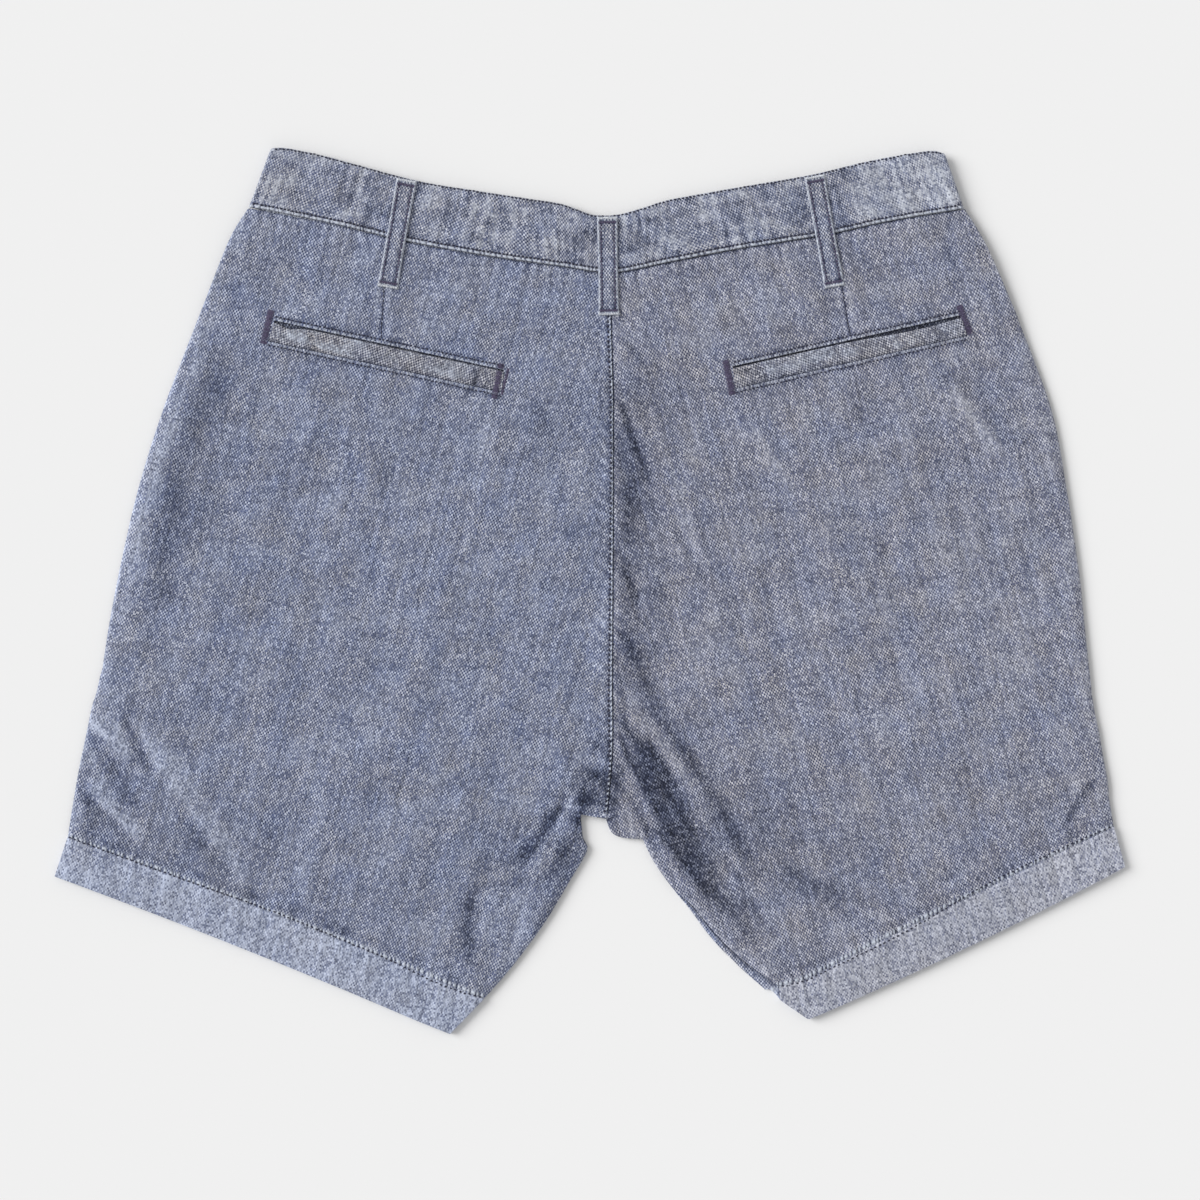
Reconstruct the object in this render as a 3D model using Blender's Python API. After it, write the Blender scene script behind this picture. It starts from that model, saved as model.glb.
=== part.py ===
"""Chambray shorts, laid flat on their front with the back facing up.

The frame: +Z is up, +Y runs from the legs to the waist, and -X is the wearer's left. The origin is under the
middle of the shorts, on the surface that they lie on. Every size in this file is in millimetres, and MM turns
it into metres when a piece is made.

Two layers of cloth lie on each other. The front panels rest on the surface, and the back panels lie on them.
Each panel is a sheet of rows, which run across it from its inner edge to its side edge.
"""

import math
from collections import namedtuple

import bmesh
import bpy
from mathutils import Vector

MM = 0.001

# ---- cloth walls and the gaps between pieces
PANEL_WALL = 1.2        # a leg panel: cloth with its seam allowances
HEM_EXTRA = 0.6         # what the turned-up hem adds to a panel
BAND_WALL = 1.8         # waistband: two layers and the interlining
LOOP_WALL = 1.6         # belt loop: a strip folded in three
WELT_WALL = 1.6
FACING_WALL = 1.0
SEAM_GAP = 0.3          # between pieces that are sewn together
WAIST_GAP = 0.4         # between a panel's top edge and the waistband
SLIT = 1.2              # pocket mouth, above the welt

# ---- how the layers lie on each other
FRONT_BAND_LIFT = 2.5   # the front waistband lies on its belt loops and its button
BAND_DROOP = 1.2        # the back waistband's top edge sags where nothing lies under it
LAYER_GAP = 2.0         # air between the front and back panels
MOST_AIR = 3.5          # no fold lifts the back panel further than this
WAIST_LAYER_GAP = 1.0
POCKET_LAYER_GAP = 2.1  # room for the pocket facing
POCKET_REACH = 26.0     # that room is kept this far from a pocket's mouth
POCKET_FADE = 22.0      # and ends over this width
POCKET_CALM = 0.6       # share by which a pocket's layers flatten the folds
HEM_CALM = 0.7          # share by which the stiff hem flattens the air under it
EDGE_ROUND = 8.0        # width over which a panel's side edge rounds down
LIFT_FLAT = 25.0        # the panels stay lifted this far below the front waist seam
LIFT_END = 95.0         # and lie down by here
FAR_INSIDE = 1000.0     # stands for the distance to the edge, anywhere well inside a panel

# ---- small parts
LOOP_WIDTH = 12.7
LOOP_ARCH = 0.5         # a belt loop bows away from the waistband
LOOP_PAST_SEAM = 2.0    # a back loop starts down to the panel this far below the waist seam
LOOP_BELOW_SEAM = 24.0  # how far a front loop reaches below the waist seam
FACING_MARGIN = 6.0     # the facing reaches past both ends of its pocket
FACING_ABOVE = 8.0      # above the mouth
FACING_BELOW = 5.0      # and below the welt's seam
BUTTON_RADIUS = 8.5
BUTTON_WALL = 2.2
BUTTON_HOLE_RADIUS = 1.0
BUTTON_HOLE_SPREAD = 2.2
BUTTON_FROM_OPENING = 14.0
BUTTON_ABOVE_MIDDLE = 3.0

# ---- the waist, from the middle of the back to the side: waistband top edge, then its seam
Station = namedtuple("Station", "top_x top_y seam_x seam_y")
BAND_LEFT = (
    Station(12.0, 232.0, 12.5, 196.7),
    Station(1.5, 232.5, 3.5, 197.3),
    Station(-9.5, 236.5, -4.5, 198.5),
    Station(-19.0, 239.5, -13.5, 200.0),
    Station(-35.0, 242.0, -30.5, 202.4),
    Station(-66.5, 246.7, -68.0, 207.8),
    Station(-105.0, 253.0, -112.5, 216.0),
    Station(-143.0, 263.0, -151.5, 225.3),
    Station(-166.5, 269.3, -179.5, 231.3),
    Station(-187.0, 273.4, -200.0, 235.4),
    Station(-195.0, 273.6, -209.0, 236.8),
)
BAND_RIGHT = (
    Station(12.0, 232.0, 12.5, 196.7),
    Station(20.0, 233.0, 20.5, 197.2),
    Station(34.0, 237.0, 34.5, 200.0),
    Station(48.5, 241.5, 48.5, 203.0),
    Station(78.5, 247.0, 87.0, 210.5),
    Station(108.0, 252.0, 118.0, 215.5),
    Station(138.0, 257.2, 150.0, 220.8),
    Station(167.5, 264.3, 178.0, 227.0),
    Station(190.0, 268.8, 203.0, 231.6),
    Station(210.5, 271.8, 222.0, 234.6),
    Station(218.0, 270.6, 230.0, 236.0),
)
OPENING_X = 12.3            # the fly and the waistband's ends, in the middle of the front
FRONT_BAND_TOP_Y = 217.5    # the front waist dips lower than the back
FRONT_SEAM_Y = 180.0
DROOP_END = 0.77            # share of the way to the side where the waistband's top edge no longer sags
BAND_SPAN_STEPS = 2         # mesh sections from one station to the next
BAND_TURN_STEPS = 6         # sections round the side
BAND_FRONT_STEPS = 8        # sections along the front
BAND_ACROSS = (0.0, 0.5, 1.0)

# ---- rows across the back panels, from the waist down to the hem's edge
# inner: the middle seam, the crotch or the inseam. side: the side seam. knee: a corner on the row near its
# inner end, where it has one. lap: how far the front panel shows past the inner edge. steps: mesh rows up to
# the next row. corner: the edges turn sharply here. bow: how far the row's middle sags towards the hem.
Row = namedtuple(
    "Row", "name inner_x inner_y side_x side_y steps corner lap knee bow", defaults=(False, 0.0, None, 0.0)
)
LEFT_ROWS = (
    Row("waist", 12.5, 196.3, -211.0, 236.4, 1),
    Row("below the waist", 12.8, 179.5, -222.5, 217.5, 4),
    Row("pocket mouth", 14.5, 122.0, -239.0, 176.5, 1),
    Row("welt seam", 14.5, 107.5, -244.0, 164.0, 4),
    Row("seat", 14.5, 50.0, -264.0, 112.0, 3),
    Row("hip", 14.3, -3.0, -279.5, 62.5, 3),
    Row("below hip", 14.0, -55.5, -291.0, 12.5, 3),
    Row("fork", 14.0, -99.0, -298.0, -24.5, 3),
    Row("crotch", 10.5, -141.5, -301.5, -48.0, 1, True),
    Row("crotch point", -5.5, -138.5, -303.0, -53.0, 1, True),
    Row("inseam 1", -4.0, -153.5, -305.5, -64.0, 1),
    Row("inseam 2", -1.5, -161.0, -308.0, -71.5, 2, True),
    Row("inseam 3", -12.0, -179.5, -312.0, -91.0, 2),
    Row("inseam 4", -27.0, -204.5, -316.0, -110.0, 2),
    Row("inseam 5", -46.0, -230.5, -319.5, -130.0, 2),
    Row("hem stitch", -65.0, -252.5, -323.0, -152.5, 3, True, bow=-2.2),
    Row("hem edge", -86.3, -274.5, -331.0, -177.0, 0, True, bow=-1.8),
)
RIGHT_ROWS = (
    Row("waist", 12.5, 196.3, 232.0, 236.0, 1),
    Row("below the waist", 13.0, 176.5, 245.5, 213.5, 4),
    Row("pocket mouth", 14.5, 122.0, 261.5, 177.5, 1),
    Row("welt seam", 14.5, 107.5, 266.5, 165.0, 4),
    Row("seat", 14.5, 50.0, 286.0, 112.0, 3),
    Row("hip", 14.3, -3.0, 295.5, 62.5, 3),
    Row("below hip", 14.0, -55.5, 303.0, 12.5, 3),
    Row("fork", 14.0, -99.0, 307.0, -25.5, 3),
    Row("crotch", 10.5, -142.0, 310.5, -58.0, 1, True),
    Row("crotch bump", 13.5, -149.5, 311.0, -64.0, 1),
    Row("bump foot", 20.0, -153.0, 312.0, -70.0, 1),
    Row("bump end", 33.0, -154.0, 313.0, -76.5, 1, True),
    Row("inseam 1", 40.5, -169.0, 315.5, -87.5, 1),
    Row("inseam 2", 53.0, -185.5, 318.0, -102.5, 1, False, 0.5),
    Row("inseam 3", 63.5, -195.0, 321.0, -118.5, 2, False, 2.8),
    Row("inseam 4", 78.5, -213.0, 321.5, -127.0, 1, False, 4.0),
    Row("inseam 5", 94.0, -228.0, 322.5, -133.5, 2, False, 4.7),
    Row("hem stitch", 117.5, -245.0, 324.5, -146.0, 3, True, 9.2, (133.5, -241.0), -1.2),
    Row("hem edge", 118.0, -253.5, 331.5, -171.0, 0, True, 0.0, (135.5, -265.5), 2.8),
)
KNEE_SHARE = 0.08                 # where a row's knee lies, as a share of the row
HEM_STEPS = (0.0, 0.07, 0.55)     # the hem's thicker cloth begins just below its stitch line

# ---- places along a row, as shares of it: the back's pocket slit runs from one of them to another
LEFT_COLUMNS = (0, 0.012, 0.04, 0.085, 0.14, 0.2, 0.266, 0.346, 0.426, 0.506, 0.586, 0.666, 0.746, 0.826,
                0.875, 0.92, 0.955, 0.98, 0.992, 1)
LEFT_SLIT = (0.266, 0.826)
RIGHT_COLUMNS = (0, 0.012, 0.04, 0.08, 0.12, 0.165, 0.21, 0.255, 0.30, 0.38, 0.46, 0.54, 0.62, 0.70, 0.785,
                 0.87, 0.91, 0.95, 0.98, 0.992, 1)
RIGHT_SLIT = (0.30, 0.87)
FRONT_COLUMNS = (0, 0.04, 0.08, 0.16, 0.26, 0.37, 0.49, 0.61, 0.73, 0.84, 0.92, 0.97, 1)
POCKET_COLUMNS = 9
WELT_MIDDLE_ROWS = (0.35, 0.7)    # shares of the way from the mouth to the welt's seam

# ---- the front panel's strip that shows past the right inseam: a soft roll, from its edge to its foot
LapColumn = namedtuple("LapColumn", "of_lap more rise")
LAP_RIDGE = LapColumn(0.45, 0.3, 0.32)    # share of the lap, more millimetres, and rise for each one of lap
LAP_FOOT = LapColumn(0.88, 0.6, 0.0)
LAP_FULL = 5.0                            # a lap this wide has the roll's full height

# ---- the largest folds of the back: a ridge has a height above 0, a trough below. Seen along a fold from its
# start to its end, bend moves its middle to the left, and its flanks reach left_width and right_width.
Fold = namedtuple("Fold", "name start end bend height left_width right_width")
FOLDS = (
    Fold("swell over the fork", (18.0, -50.0), (70.0, -195.0), 0.0, 1.4, 34.0, 30.0),
    Fold("ridge of the middle seam", (13.5, 170.0), (13.5, -140.0), 0.0, 0.9, 6.0, 26.0),
    Fold("trough across the right thigh", (17.0, -14.0), (112.0, -166.0), -6.0, -2.1, 26.0, 10.0),
    Fold("trough above the right hem", (106.0, -160.0), (200.0, -202.0), -8.0, -1.2, 8.0, 12.0),
    Fold("trough along the right inseam", (15.0, -66.0), (118.0, -222.0), 0.0, -2.4, 5.0, 26.0),
    Fold("ridge across the seat", (17.0, 162.0), (77.0, 0.0), 0.0, 1.0, 5.0, 16.0),
    Fold("trough beside the middle seam", (22.0, 140.0), (27.0, 20.0), -5.0, -1.4, 16.0, 6.0),
    Fold("line below the right pocket", (85.0, 124.0), (130.0, 56.0), 0.0, 0.7, 4.0, 12.0),
    Fold("line outside the right pocket", (218.0, 132.0), (263.0, 76.0), 0.0, 0.8, 5.0, 14.0),
    Fold("ridge from the crotch to the left hem", (-5.0, -126.0), (-46.0, -184.0), 5.0, 1.3, 11.0, 5.0),
    Fold("trough above that ridge", (-2.0, -106.0), (-70.0, -182.0), 5.0, -1.9, 5.0, 16.0),
    Fold("trough down to the left hem", (-66.0, -178.0), (-78.0, -240.0), -5.0, -1.6, 8.0, 14.0),
    Fold("left hem wrinkle 1", (-288.0, -64.0), (-206.0, -184.0), -5.0, 1.4, 22.0, 5.5),
    Fold("left hem wrinkle 2", (-315.0, -74.0), (-280.0, -108.0), 0.0, 1.1, 10.0, 5.0),
    Fold("left hem wrinkle 3", (-318.0, -112.0), (-270.0, -162.0), 0.0, 1.2, 7.0, 4.5),
    Fold("crest beside the left side seam", (-229.0, 172.0), (-290.0, -45.0), -9.0, 1.1, 13.0, 12.0),
    Fold("hollow in the fork", (10.0, -106.0), (-1.0, -139.0), 0.0, -1.6, 12.0, 12.0),
    Fold("wrinkle above the right hem", (148.0, -190.0), (196.0, -207.0), 0.0, 0.9, 8.0, 5.0),
)
FOLD_POINTS = 9        # points along a fold's curve
FOLD_TAPER = 0.3       # a fold rises over this share of its length

# ---- belt loops: where each starts at the waistband's top edge and ends below its seam
LOOP_ON_BAND = (0.0, 0.12, 0.28, 0.45)    # mesh rows on the waistband, as shares of the loop's length
LOOP_ON_PANEL = (0.7, 0.8, 0.9, 1.0)
FRONT_LOOP_ROWS = 5
Loop = namedtuple("Loop", "name top_x top_y end_x end_y")
BACK_LOOPS = (
    Loop("belt_loop_centre", 11.0, 231.0, 12.0, 170.0),
    Loop("belt_loop_back_left", -112.9, 254.0, -124.8, 187.0),
    Loop("belt_loop_back_right", 139.0, 256.2, 151.5, 187.5),
)
FRONT_LOOPS = (("belt_loop_front_left", -100.0), ("belt_loop_front_right", 122.0))

# ---- colours: red, green, blue in linear light, then roughness
CHAMBRAY = ((0.215, 0.245, 0.325), 0.9)
CHAMBRAY_BAND = ((0.245, 0.275, 0.355), 0.9)
CHAMBRAY_WELT = ((0.205, 0.215, 0.285), 0.9)
BUTTON_COLOUR = ((0.045, 0.05, 0.065), 0.35)


# ---------------------------------------------------------------- small helpers
def lerp(a, b, t):
    return a + (b - a) * t


def smooth(t):
    """0 to 1 with a soft start and end."""
    t = min(max(t, 0.0), 1.0)
    return t * t * (3 - 2 * t)


def quarter_round(t):
    """0 to 1 as a quarter circle: steep at the edge, level further in."""
    t = min(max(t, 0.0), 1.0)
    return math.sqrt(1 - (1 - t) ** 2)


def read_at(x, xs, ys):
    """The y of a line through points, at x. The xs run either way."""
    if xs[0] > xs[-1]:
        xs, ys = xs[::-1], ys[::-1]
    x = min(max(x, xs[0]), xs[-1])
    for x0, x1, y0, y1 in zip(xs, xs[1:], ys, ys[1:]):
        if x <= x1:
            return lerp(y0, y1, (x - x0) / (x1 - x0))
    return ys[-1]


def curve_between(p0, p1, p2, p3, t):
    """A Catmull-Rom curve from p1 to p2. p0 or p3 is None where the curve starts or ends."""
    p0 = p0 if p0 is not None else p1
    p3 = p3 if p3 is not None else p2
    start, end = (p2 - p0) * 0.5, (p3 - p1) * 0.5
    a = 2 * t**3 - 3 * t**2 + 1
    b = t**3 - 2 * t**2 + t
    return p1 * a + start * b + p2 * (1 - a) + end * (t**3 - t**2)


def distance_to_path(x, y, path):
    """How far (x, y) is from a path, where along it as a share, and whether it is on the path's left."""
    best, place, on_left = 1e9, 0.0, False
    for i, (a, b) in enumerate(zip(path, path[1:])):
        dx, dy = b[0] - a[0], b[1] - a[1]
        t = ((x - a[0]) * dx + (y - a[1]) * dy) / (dx * dx + dy * dy)
        t = min(max(t, 0.0), 1.0)
        d = math.hypot(x - a[0] - t * dx, y - a[1] - t * dy)
        if d < best:
            best, place = d, (i + t) / (len(path) - 1)
            on_left = dx * (y - a[1]) > dy * (x - a[0])
    return best, place, on_left


# ---------------------------------------------------------------- the form of the cloth
def fold_path(fold):
    """Points along a fold, bent sideways in its middle."""
    start, end = Vector(fold.start), Vector(fold.end)
    along = (end - start).normalized()
    left = Vector((-along.y, along.x))
    points = []
    for i in range(FOLD_POINTS):
        t = i / (FOLD_POINTS - 1)
        points.append(start.lerp(end, t) + left * fold.bend * 4 * t * (1 - t))
    return points


FOLD_PATHS = tuple(fold_path(fold) for fold in FOLDS)


def fold_height(x, y):
    total = 0.0
    for fold, path in zip(FOLDS, FOLD_PATHS):
        away, place, on_left = distance_to_path(x, y, path)
        width = fold.left_width if on_left else fold.right_width
        total += fold.height * smooth(min(place, 1 - place) / FOLD_TAPER) * math.exp(-((away / width) ** 2))
    return total


def front_seam_y(x):
    """The front waist seam: from each side down to the fly."""
    sides = (BAND_LEFT[-1].seam_x, OPENING_X, BAND_RIGHT[-1].seam_x)
    return read_at(x, sides, (BAND_LEFT[-1].seam_y, FRONT_SEAM_Y, BAND_RIGHT[-1].seam_y))


def back_seam_y(x):
    """The back waist seam, from side to side."""
    stations = BAND_LEFT[::-1] + BAND_RIGHT[1:]
    return read_at(x, [s.seam_x for s in stations], [s.seam_y for s in stations])


def waist_lift(x, y):
    """1 near the waist, where the layers lie on the front waistband's loops, and 0 lower down."""
    below = front_seam_y(x) - y
    return 1 - smooth((below - LIFT_FLAT) / (LIFT_END - LIFT_FLAT))


def front_top(x, y, hem):
    """The upper side of the front panels."""
    return PANEL_WALL + FRONT_BAND_LIFT * waist_lift(x, y) + HEM_EXTRA * hem


def row_named(rows, name):
    return next(row for row in rows if row.name == name)


def pocket_mouth(rows, slit):
    """The two ends of a pocket's mouth, on its row."""
    mouth = row_named(rows, "pocket mouth")
    inner, side = Vector((mouth.inner_x, mouth.inner_y)), Vector((mouth.side_x, mouth.side_y))
    return [inner.lerp(side, share) for share in slit]


POCKET_MOUTHS = (pocket_mouth(LEFT_ROWS, LEFT_SLIT), pocket_mouth(RIGHT_ROWS, RIGHT_SLIT))


def back_bottom(x, y, hem, from_edge):
    """The under side of the back layer. from_edge is how far the point is from the panel's free edge."""
    lift = waist_lift(x, y)
    from_mouth = min(distance_to_path(x, y, mouth)[0] for mouth in POCKET_MOUTHS)
    near_pocket = 1 - smooth((from_mouth - POCKET_REACH) / POCKET_FADE)
    air = lerp(LAYER_GAP, POCKET_LAYER_GAP, near_pocket) + fold_height(x, y) * (1 - POCKET_CALM * near_pocket)
    air = lerp(min(max(air, SEAM_GAP), MOST_AIR), WAIST_LAYER_GAP, lift)
    rise = quarter_round(from_edge / EDGE_ROUND) * (1 - HEM_CALM * hem)
    return front_top(x, y, hem) + SEAM_GAP + rise * (air - SEAM_GAP)


# ---------------------------------------------------------------- rows of a panel
def split_at_corners(rows):
    """The rows in runs between corners, each with the rows on both of its ends."""
    runs, run = [], [rows[0]]
    for row in rows[1:]:
        run.append(row)
        if row.corner:
            runs.append(run)
            run = [row]
    return runs


def knee_of(row):
    if row.knee:
        return Vector(row.knee)
    return Vector((row.inner_x, row.inner_y)).lerp(Vector((row.side_x, row.side_y)), KNEE_SHARE)


# A mesh row: where it runs, and how much it laps, bows, is hem and follows the curved waist.
Line = namedtuple("Line", "name inner knee side lap bow hem waist")


def fine_rows(rows, thin_out):
    """Every mesh row: its inner point, knee and side point, and how it lies there."""
    fine = []
    waist_y, mouth_y = rows[0].inner_y, row_named(rows, "pocket mouth").inner_y
    for run in split_at_corners(rows):
        inner = [Vector((r.inner_x, r.inner_y)) for r in run]
        knee = [knee_of(r) for r in run]
        side = [Vector((r.side_x, r.side_y)) for r in run]
        for i, row in enumerate(run[:-1]):
            is_hem = row.name == "hem stitch"
            count = max(1, math.ceil(row.steps / thin_out))
            shares = HEM_STEPS if is_hem else [k / count for k in range(count)]
            for t in shares:
                points = []
                for line in (inner, knee, side):
                    before = line[i - 1] if i else None
                    after = line[i + 2] if i + 2 < len(line) else None
                    points.append(curve_between(before, line[i], line[i + 1], after, t))
                after_row = run[i + 1]
                fine.append(Line(
                    row.name, *points,
                    lap=lerp(row.lap, after_row.lap, t),
                    bow=lerp(row.bow, after_row.bow, t),
                    hem=1.0 if is_hem and t > 0 else 0.0,
                    waist=max(0.0, (points[0].y - mouth_y) / (waist_y - mouth_y)),
                ))
    last = rows[-1]
    ends = [Vector((last.inner_x, last.inner_y)), knee_of(last), Vector((last.side_x, last.side_y))]
    fine.append(Line(last.name, *ends, lap=last.lap, bow=last.bow, hem=1.0, waist=0.0))
    return fine


def along_row(line, share):
    """The point at a share of a row that turns at its knee and sags in its middle."""
    if share < KNEE_SHARE:
        return line.inner.lerp(line.knee, share / KNEE_SHARE)
    t = (share - KNEE_SHARE) / (1 - KNEE_SHARE)
    return line.knee.lerp(line.side, t) - Vector((0, line.bow * 4 * t * (1 - t)))


def follow_waist(point, waist):
    """Moves a point of the upper rows so that the first row follows the curved waist seam."""
    first, last = BAND_LEFT[-1], BAND_RIGHT[-1]
    end = first if point.x < BAND_LEFT[0].seam_x else last
    middle = BAND_LEFT[0]
    straight = lerp(middle.seam_y, end.seam_y, (point.x - middle.seam_x) / (end.seam_x - middle.seam_x))
    return Vector((point.x, point.y + waist * (back_seam_y(point.x) - straight)))


# ---------------------------------------------------------------- making pieces
def material(name, finish):
    mat = bpy.data.materials.get(name) or bpy.data.materials.new(name)
    mat.use_nodes = True
    shader = mat.node_tree.nodes["Principled BSDF"]
    colour, roughness = finish
    shader.inputs["Base Color"].default_value = (*colour, 1)
    shader.inputs["Roughness"].default_value = roughness
    shader.inputs["Metallic"].default_value = 0.0
    return mat


def add_piece(name, bm, finish):
    """Turns a closed bmesh in millimetres into a named object in metres."""
    bmesh.ops.recalc_face_normals(bm, faces=bm.faces[:])
    bmesh.ops.scale(bm, vec=(MM, MM, MM), verts=bm.verts[:])
    mesh = bpy.data.meshes.new(name)
    bm.to_mesh(mesh)
    bm.free()
    piece = bpy.data.objects.new(name, mesh)
    bpy.context.scene.collection.objects.link(piece)
    mesh.materials.append(material(name, finish))
    mesh.shade_smooth()
    mesh.set_sharp_from_angle(angle=math.radians(40))
    return piece


def sheet_piece(name, rows, columns, under, over, finish, slit=()):
    """A closed wall of cloth: a grid laid on its under side, then extruded up to its upper side.

    under and over give the point at a row and a column. slit holds the (row, column) of each grid cell that
    is left out."""
    bm = bmesh.new()
    bmesh.ops.create_grid(bm, x_segments=columns - 1, y_segments=rows - 1, size=0.5)
    row_of, column_of = bm.verts.layers.int.new("row"), bm.verts.layers.int.new("column")
    for vert in bm.verts:
        vert[column_of] = round((vert.co.x + 0.5) * (columns - 1))
        vert[row_of] = round((0.5 - vert.co.y) * (rows - 1))
    cut = [
        face for face in bm.faces
        if (min(v[row_of] for v in face.verts), min(v[column_of] for v in face.verts)) in slit
    ]
    bmesh.ops.delete(bm, geom=cut, context="FACES")
    for vert in bm.verts:
        vert.co = under(vert[row_of], vert[column_of])
    raised = bmesh.ops.extrude_face_region(bm, geom=bm.faces[:], use_keep_orig=True)["geom"]
    for vert in (item for item in raised if isinstance(item, bmesh.types.BMVert)):
        vert.co = over(vert[row_of], vert[column_of])
    return add_piece(name, bm, finish)


def back_panel(name, rows, columns, slit):
    """A back leg panel, with its hem and with the slit that the pocket welt fills."""
    lines = fine_rows(rows, 1)
    side_sign = 1 if rows[0].side_x > 0 else -1
    mouth_row = next(i for i, line in enumerate(lines) if line.name == "pocket mouth")
    slit_cells = {(mouth_row, c) for c, share in enumerate(columns) if slit[0] <= share < slit[1]}
    crotch_y = row_named(rows, "crotch").inner_y

    def place(row, column):
        line = lines[row]
        share = columns[column]
        at = follow_waist(along_row(line, share), line.waist)
        width = (line.side - line.inner).length
        from_edge = (1 - share) * width
        if line.inner.y < crotch_y + 1:
            from_edge = min(from_edge, share * width)
        elif share == 0:
            at.x += side_sign * SEAM_GAP / 2
        if row == 0:
            at.y -= WAIST_GAP
        return at, line.hem, from_edge

    def under(row, column):
        at, hem, from_edge = place(row, column)
        return Vector((at.x, at.y, back_bottom(at.x, at.y, hem, from_edge)))

    def over(row, column):
        at, hem, from_edge = place(row, column)
        return Vector((at.x, at.y, back_bottom(at.x, at.y, hem, from_edge) + PANEL_WALL + HEM_EXTRA * hem))

    return sheet_piece(name, len(lines), len(columns), under, over, CHAMBRAY, slit_cells)


def front_panel(name, rows, lapped):
    """A front leg panel, flat on the surface. lapped adds the strip that shows past the back's inseam."""
    lines = fine_rows(rows, 2)
    side_sign = 1 if rows[0].side_x > 0 else -1
    seam_drop = back_seam_y(OPENING_X) - FRONT_SEAM_Y
    lap_columns = (LAP_RIDGE, LAP_FOOT) if lapped else ()
    shares = FRONT_COLUMNS[:1] + lap_columns + FRONT_COLUMNS[1:]
    crotch_y = row_named(rows, "crotch").inner_y

    def place(row, column):
        line = lines[row]
        outward = (line.inner - line.knee).normalized()
        lap_start = line.inner + outward * line.lap
        share = shares[column]
        ridge = 0.0
        if column == 0:
            at = lap_start
        elif share in lap_columns:
            at = lap_start - outward * (share.of_lap * line.lap + share.more)
            ridge = share.rise * min(line.lap, LAP_FULL)
        else:
            at = along_row(line, share)
        if column == 0 and line.inner.y > crotch_y + 1:
            at.x += side_sign * SEAM_GAP / 2
        share_out = min((at - line.inner).length / (line.side - line.inner).length, 1.0)
        at.y -= line.waist * seam_drop * (1 - share_out)
        if row == 0:
            at.y = front_seam_y(at.x) - WAIST_GAP
        return at, line.hem, ridge

    def under(row, column):
        at, _, _ = place(row, column)
        return Vector((at.x, at.y, FRONT_BAND_LIFT * waist_lift(at.x, at.y)))

    def over(row, column):
        at, hem, ridge = place(row, column)
        return Vector((at.x, at.y, front_top(at.x, at.y, hem) + ridge))

    return sheet_piece(name, len(lines), len(shares), under, over, CHAMBRAY)


def waistband(name, stations):
    """Half of the waistband: along the back, round the side, and along the front to the opening."""
    back_bottom_z = FRONT_BAND_LIFT + BAND_WALL + SEAM_GAP
    middle_z = back_bottom_z - SEAM_GAP / 2
    outer_radius = BAND_WALL + SEAM_GAP / 2
    inner_radius = SEAM_GAP / 2
    side_sign = 1 if stations[-1].top_x > 0 else -1
    tops = [Vector((s.top_x, s.top_y)) for s in stations]
    seams = [Vector((s.seam_x, s.seam_y)) for s in stations]
    sections = []
    for i in range(len(stations) - 1):
        for k in range(BAND_SPAN_STEPS):
            t = k / BAND_SPAN_STEPS
            pair = []
            for line in (tops, seams):
                before = line[i - 1] if i else None
                after = line[i + 2] if i + 2 < len(line) else None
                pair.append(curve_between(before, line[i], line[i + 1], after, t))
            if i == 0 and k == 0:
                for point in pair:
                    point.x += side_sign * SEAM_GAP / 2
            sections.append((*pair, 0.0))
    for k in range(BAND_TURN_STEPS + 1):
        sections.append((tops[-1], seams[-1], math.pi * k / BAND_TURN_STEPS))
    opening = OPENING_X + side_sign * SEAM_GAP / 2
    for k in range(1, BAND_FRONT_STEPS + 1):
        t = k / BAND_FRONT_STEPS
        top = tops[-1].lerp(Vector((opening, FRONT_BAND_TOP_Y)), t)
        seam = seams[-1].lerp(Vector((opening, FRONT_SEAM_Y)), t)
        sections.append((top, seam, math.pi))
    outward = (tops[-1] - tops[-2]).normalized()

    def point(section, column, radius):
        top, seam, angle = sections[section]
        at = seam.lerp(top, BAND_ACROSS[column])
        at = at + outward * math.sin(angle) * radius
        droop = 0.0
        if angle == 0.0:
            to_side = min(abs(at.x - OPENING_X) / abs(stations[-1].top_x - OPENING_X), 1.0)
            droop = BAND_DROOP * max(0.0, 2 * BAND_ACROSS[column] - 1) * (1 - smooth(to_side / DROOP_END))
        return Vector((at.x, at.y, middle_z + math.cos(angle) * radius - droop))

    return sheet_piece(
        name, len(sections), len(BAND_ACROSS),
        lambda row, column: point(row, column, inner_radius),
        lambda row, column: point(row, column, outer_radius),
        CHAMBRAY_BAND,
    )


def band_top_z():
    """The upper side of the back waistband."""
    return FRONT_BAND_LIFT + 2 * BAND_WALL + SEAM_GAP


def back_loop(loop):
    """A belt loop on the back: over the waistband, then down onto the panel."""
    top, end = Vector((loop.top_x, loop.top_y)), Vector((loop.end_x, loop.end_y))
    along = (end - top).normalized()
    across = Vector((-along.y, along.x)) * LOOP_WIDTH / 2
    length = (end - top).length
    seam_at = (top.y - back_seam_y(loop.end_x) + LOOP_PAST_SEAM) / abs(along.y)
    panel_z = back_bottom(end.x, end.y, 0.0, FAR_INSIDE) + PANEL_WALL
    places = (*LOOP_ON_BAND, seam_at / length, *LOOP_ON_PANEL)

    def point(row, column, height):
        t = places[row]
        at = top.lerp(end, t) + across * (column - 1)
        surface = lerp(band_top_z(), panel_z, smooth((t * length - seam_at) / (length - seam_at)))
        arch = LOOP_ARCH * math.sin(math.pi * t)
        return Vector((at.x, at.y, surface + SEAM_GAP + arch + height))

    return sheet_piece(
        loop.name, len(places), 3,
        lambda row, column: point(row, column, 0.0),
        lambda row, column: point(row, column, LOOP_WALL),
        CHAMBRAY_BAND,
    )


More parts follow.
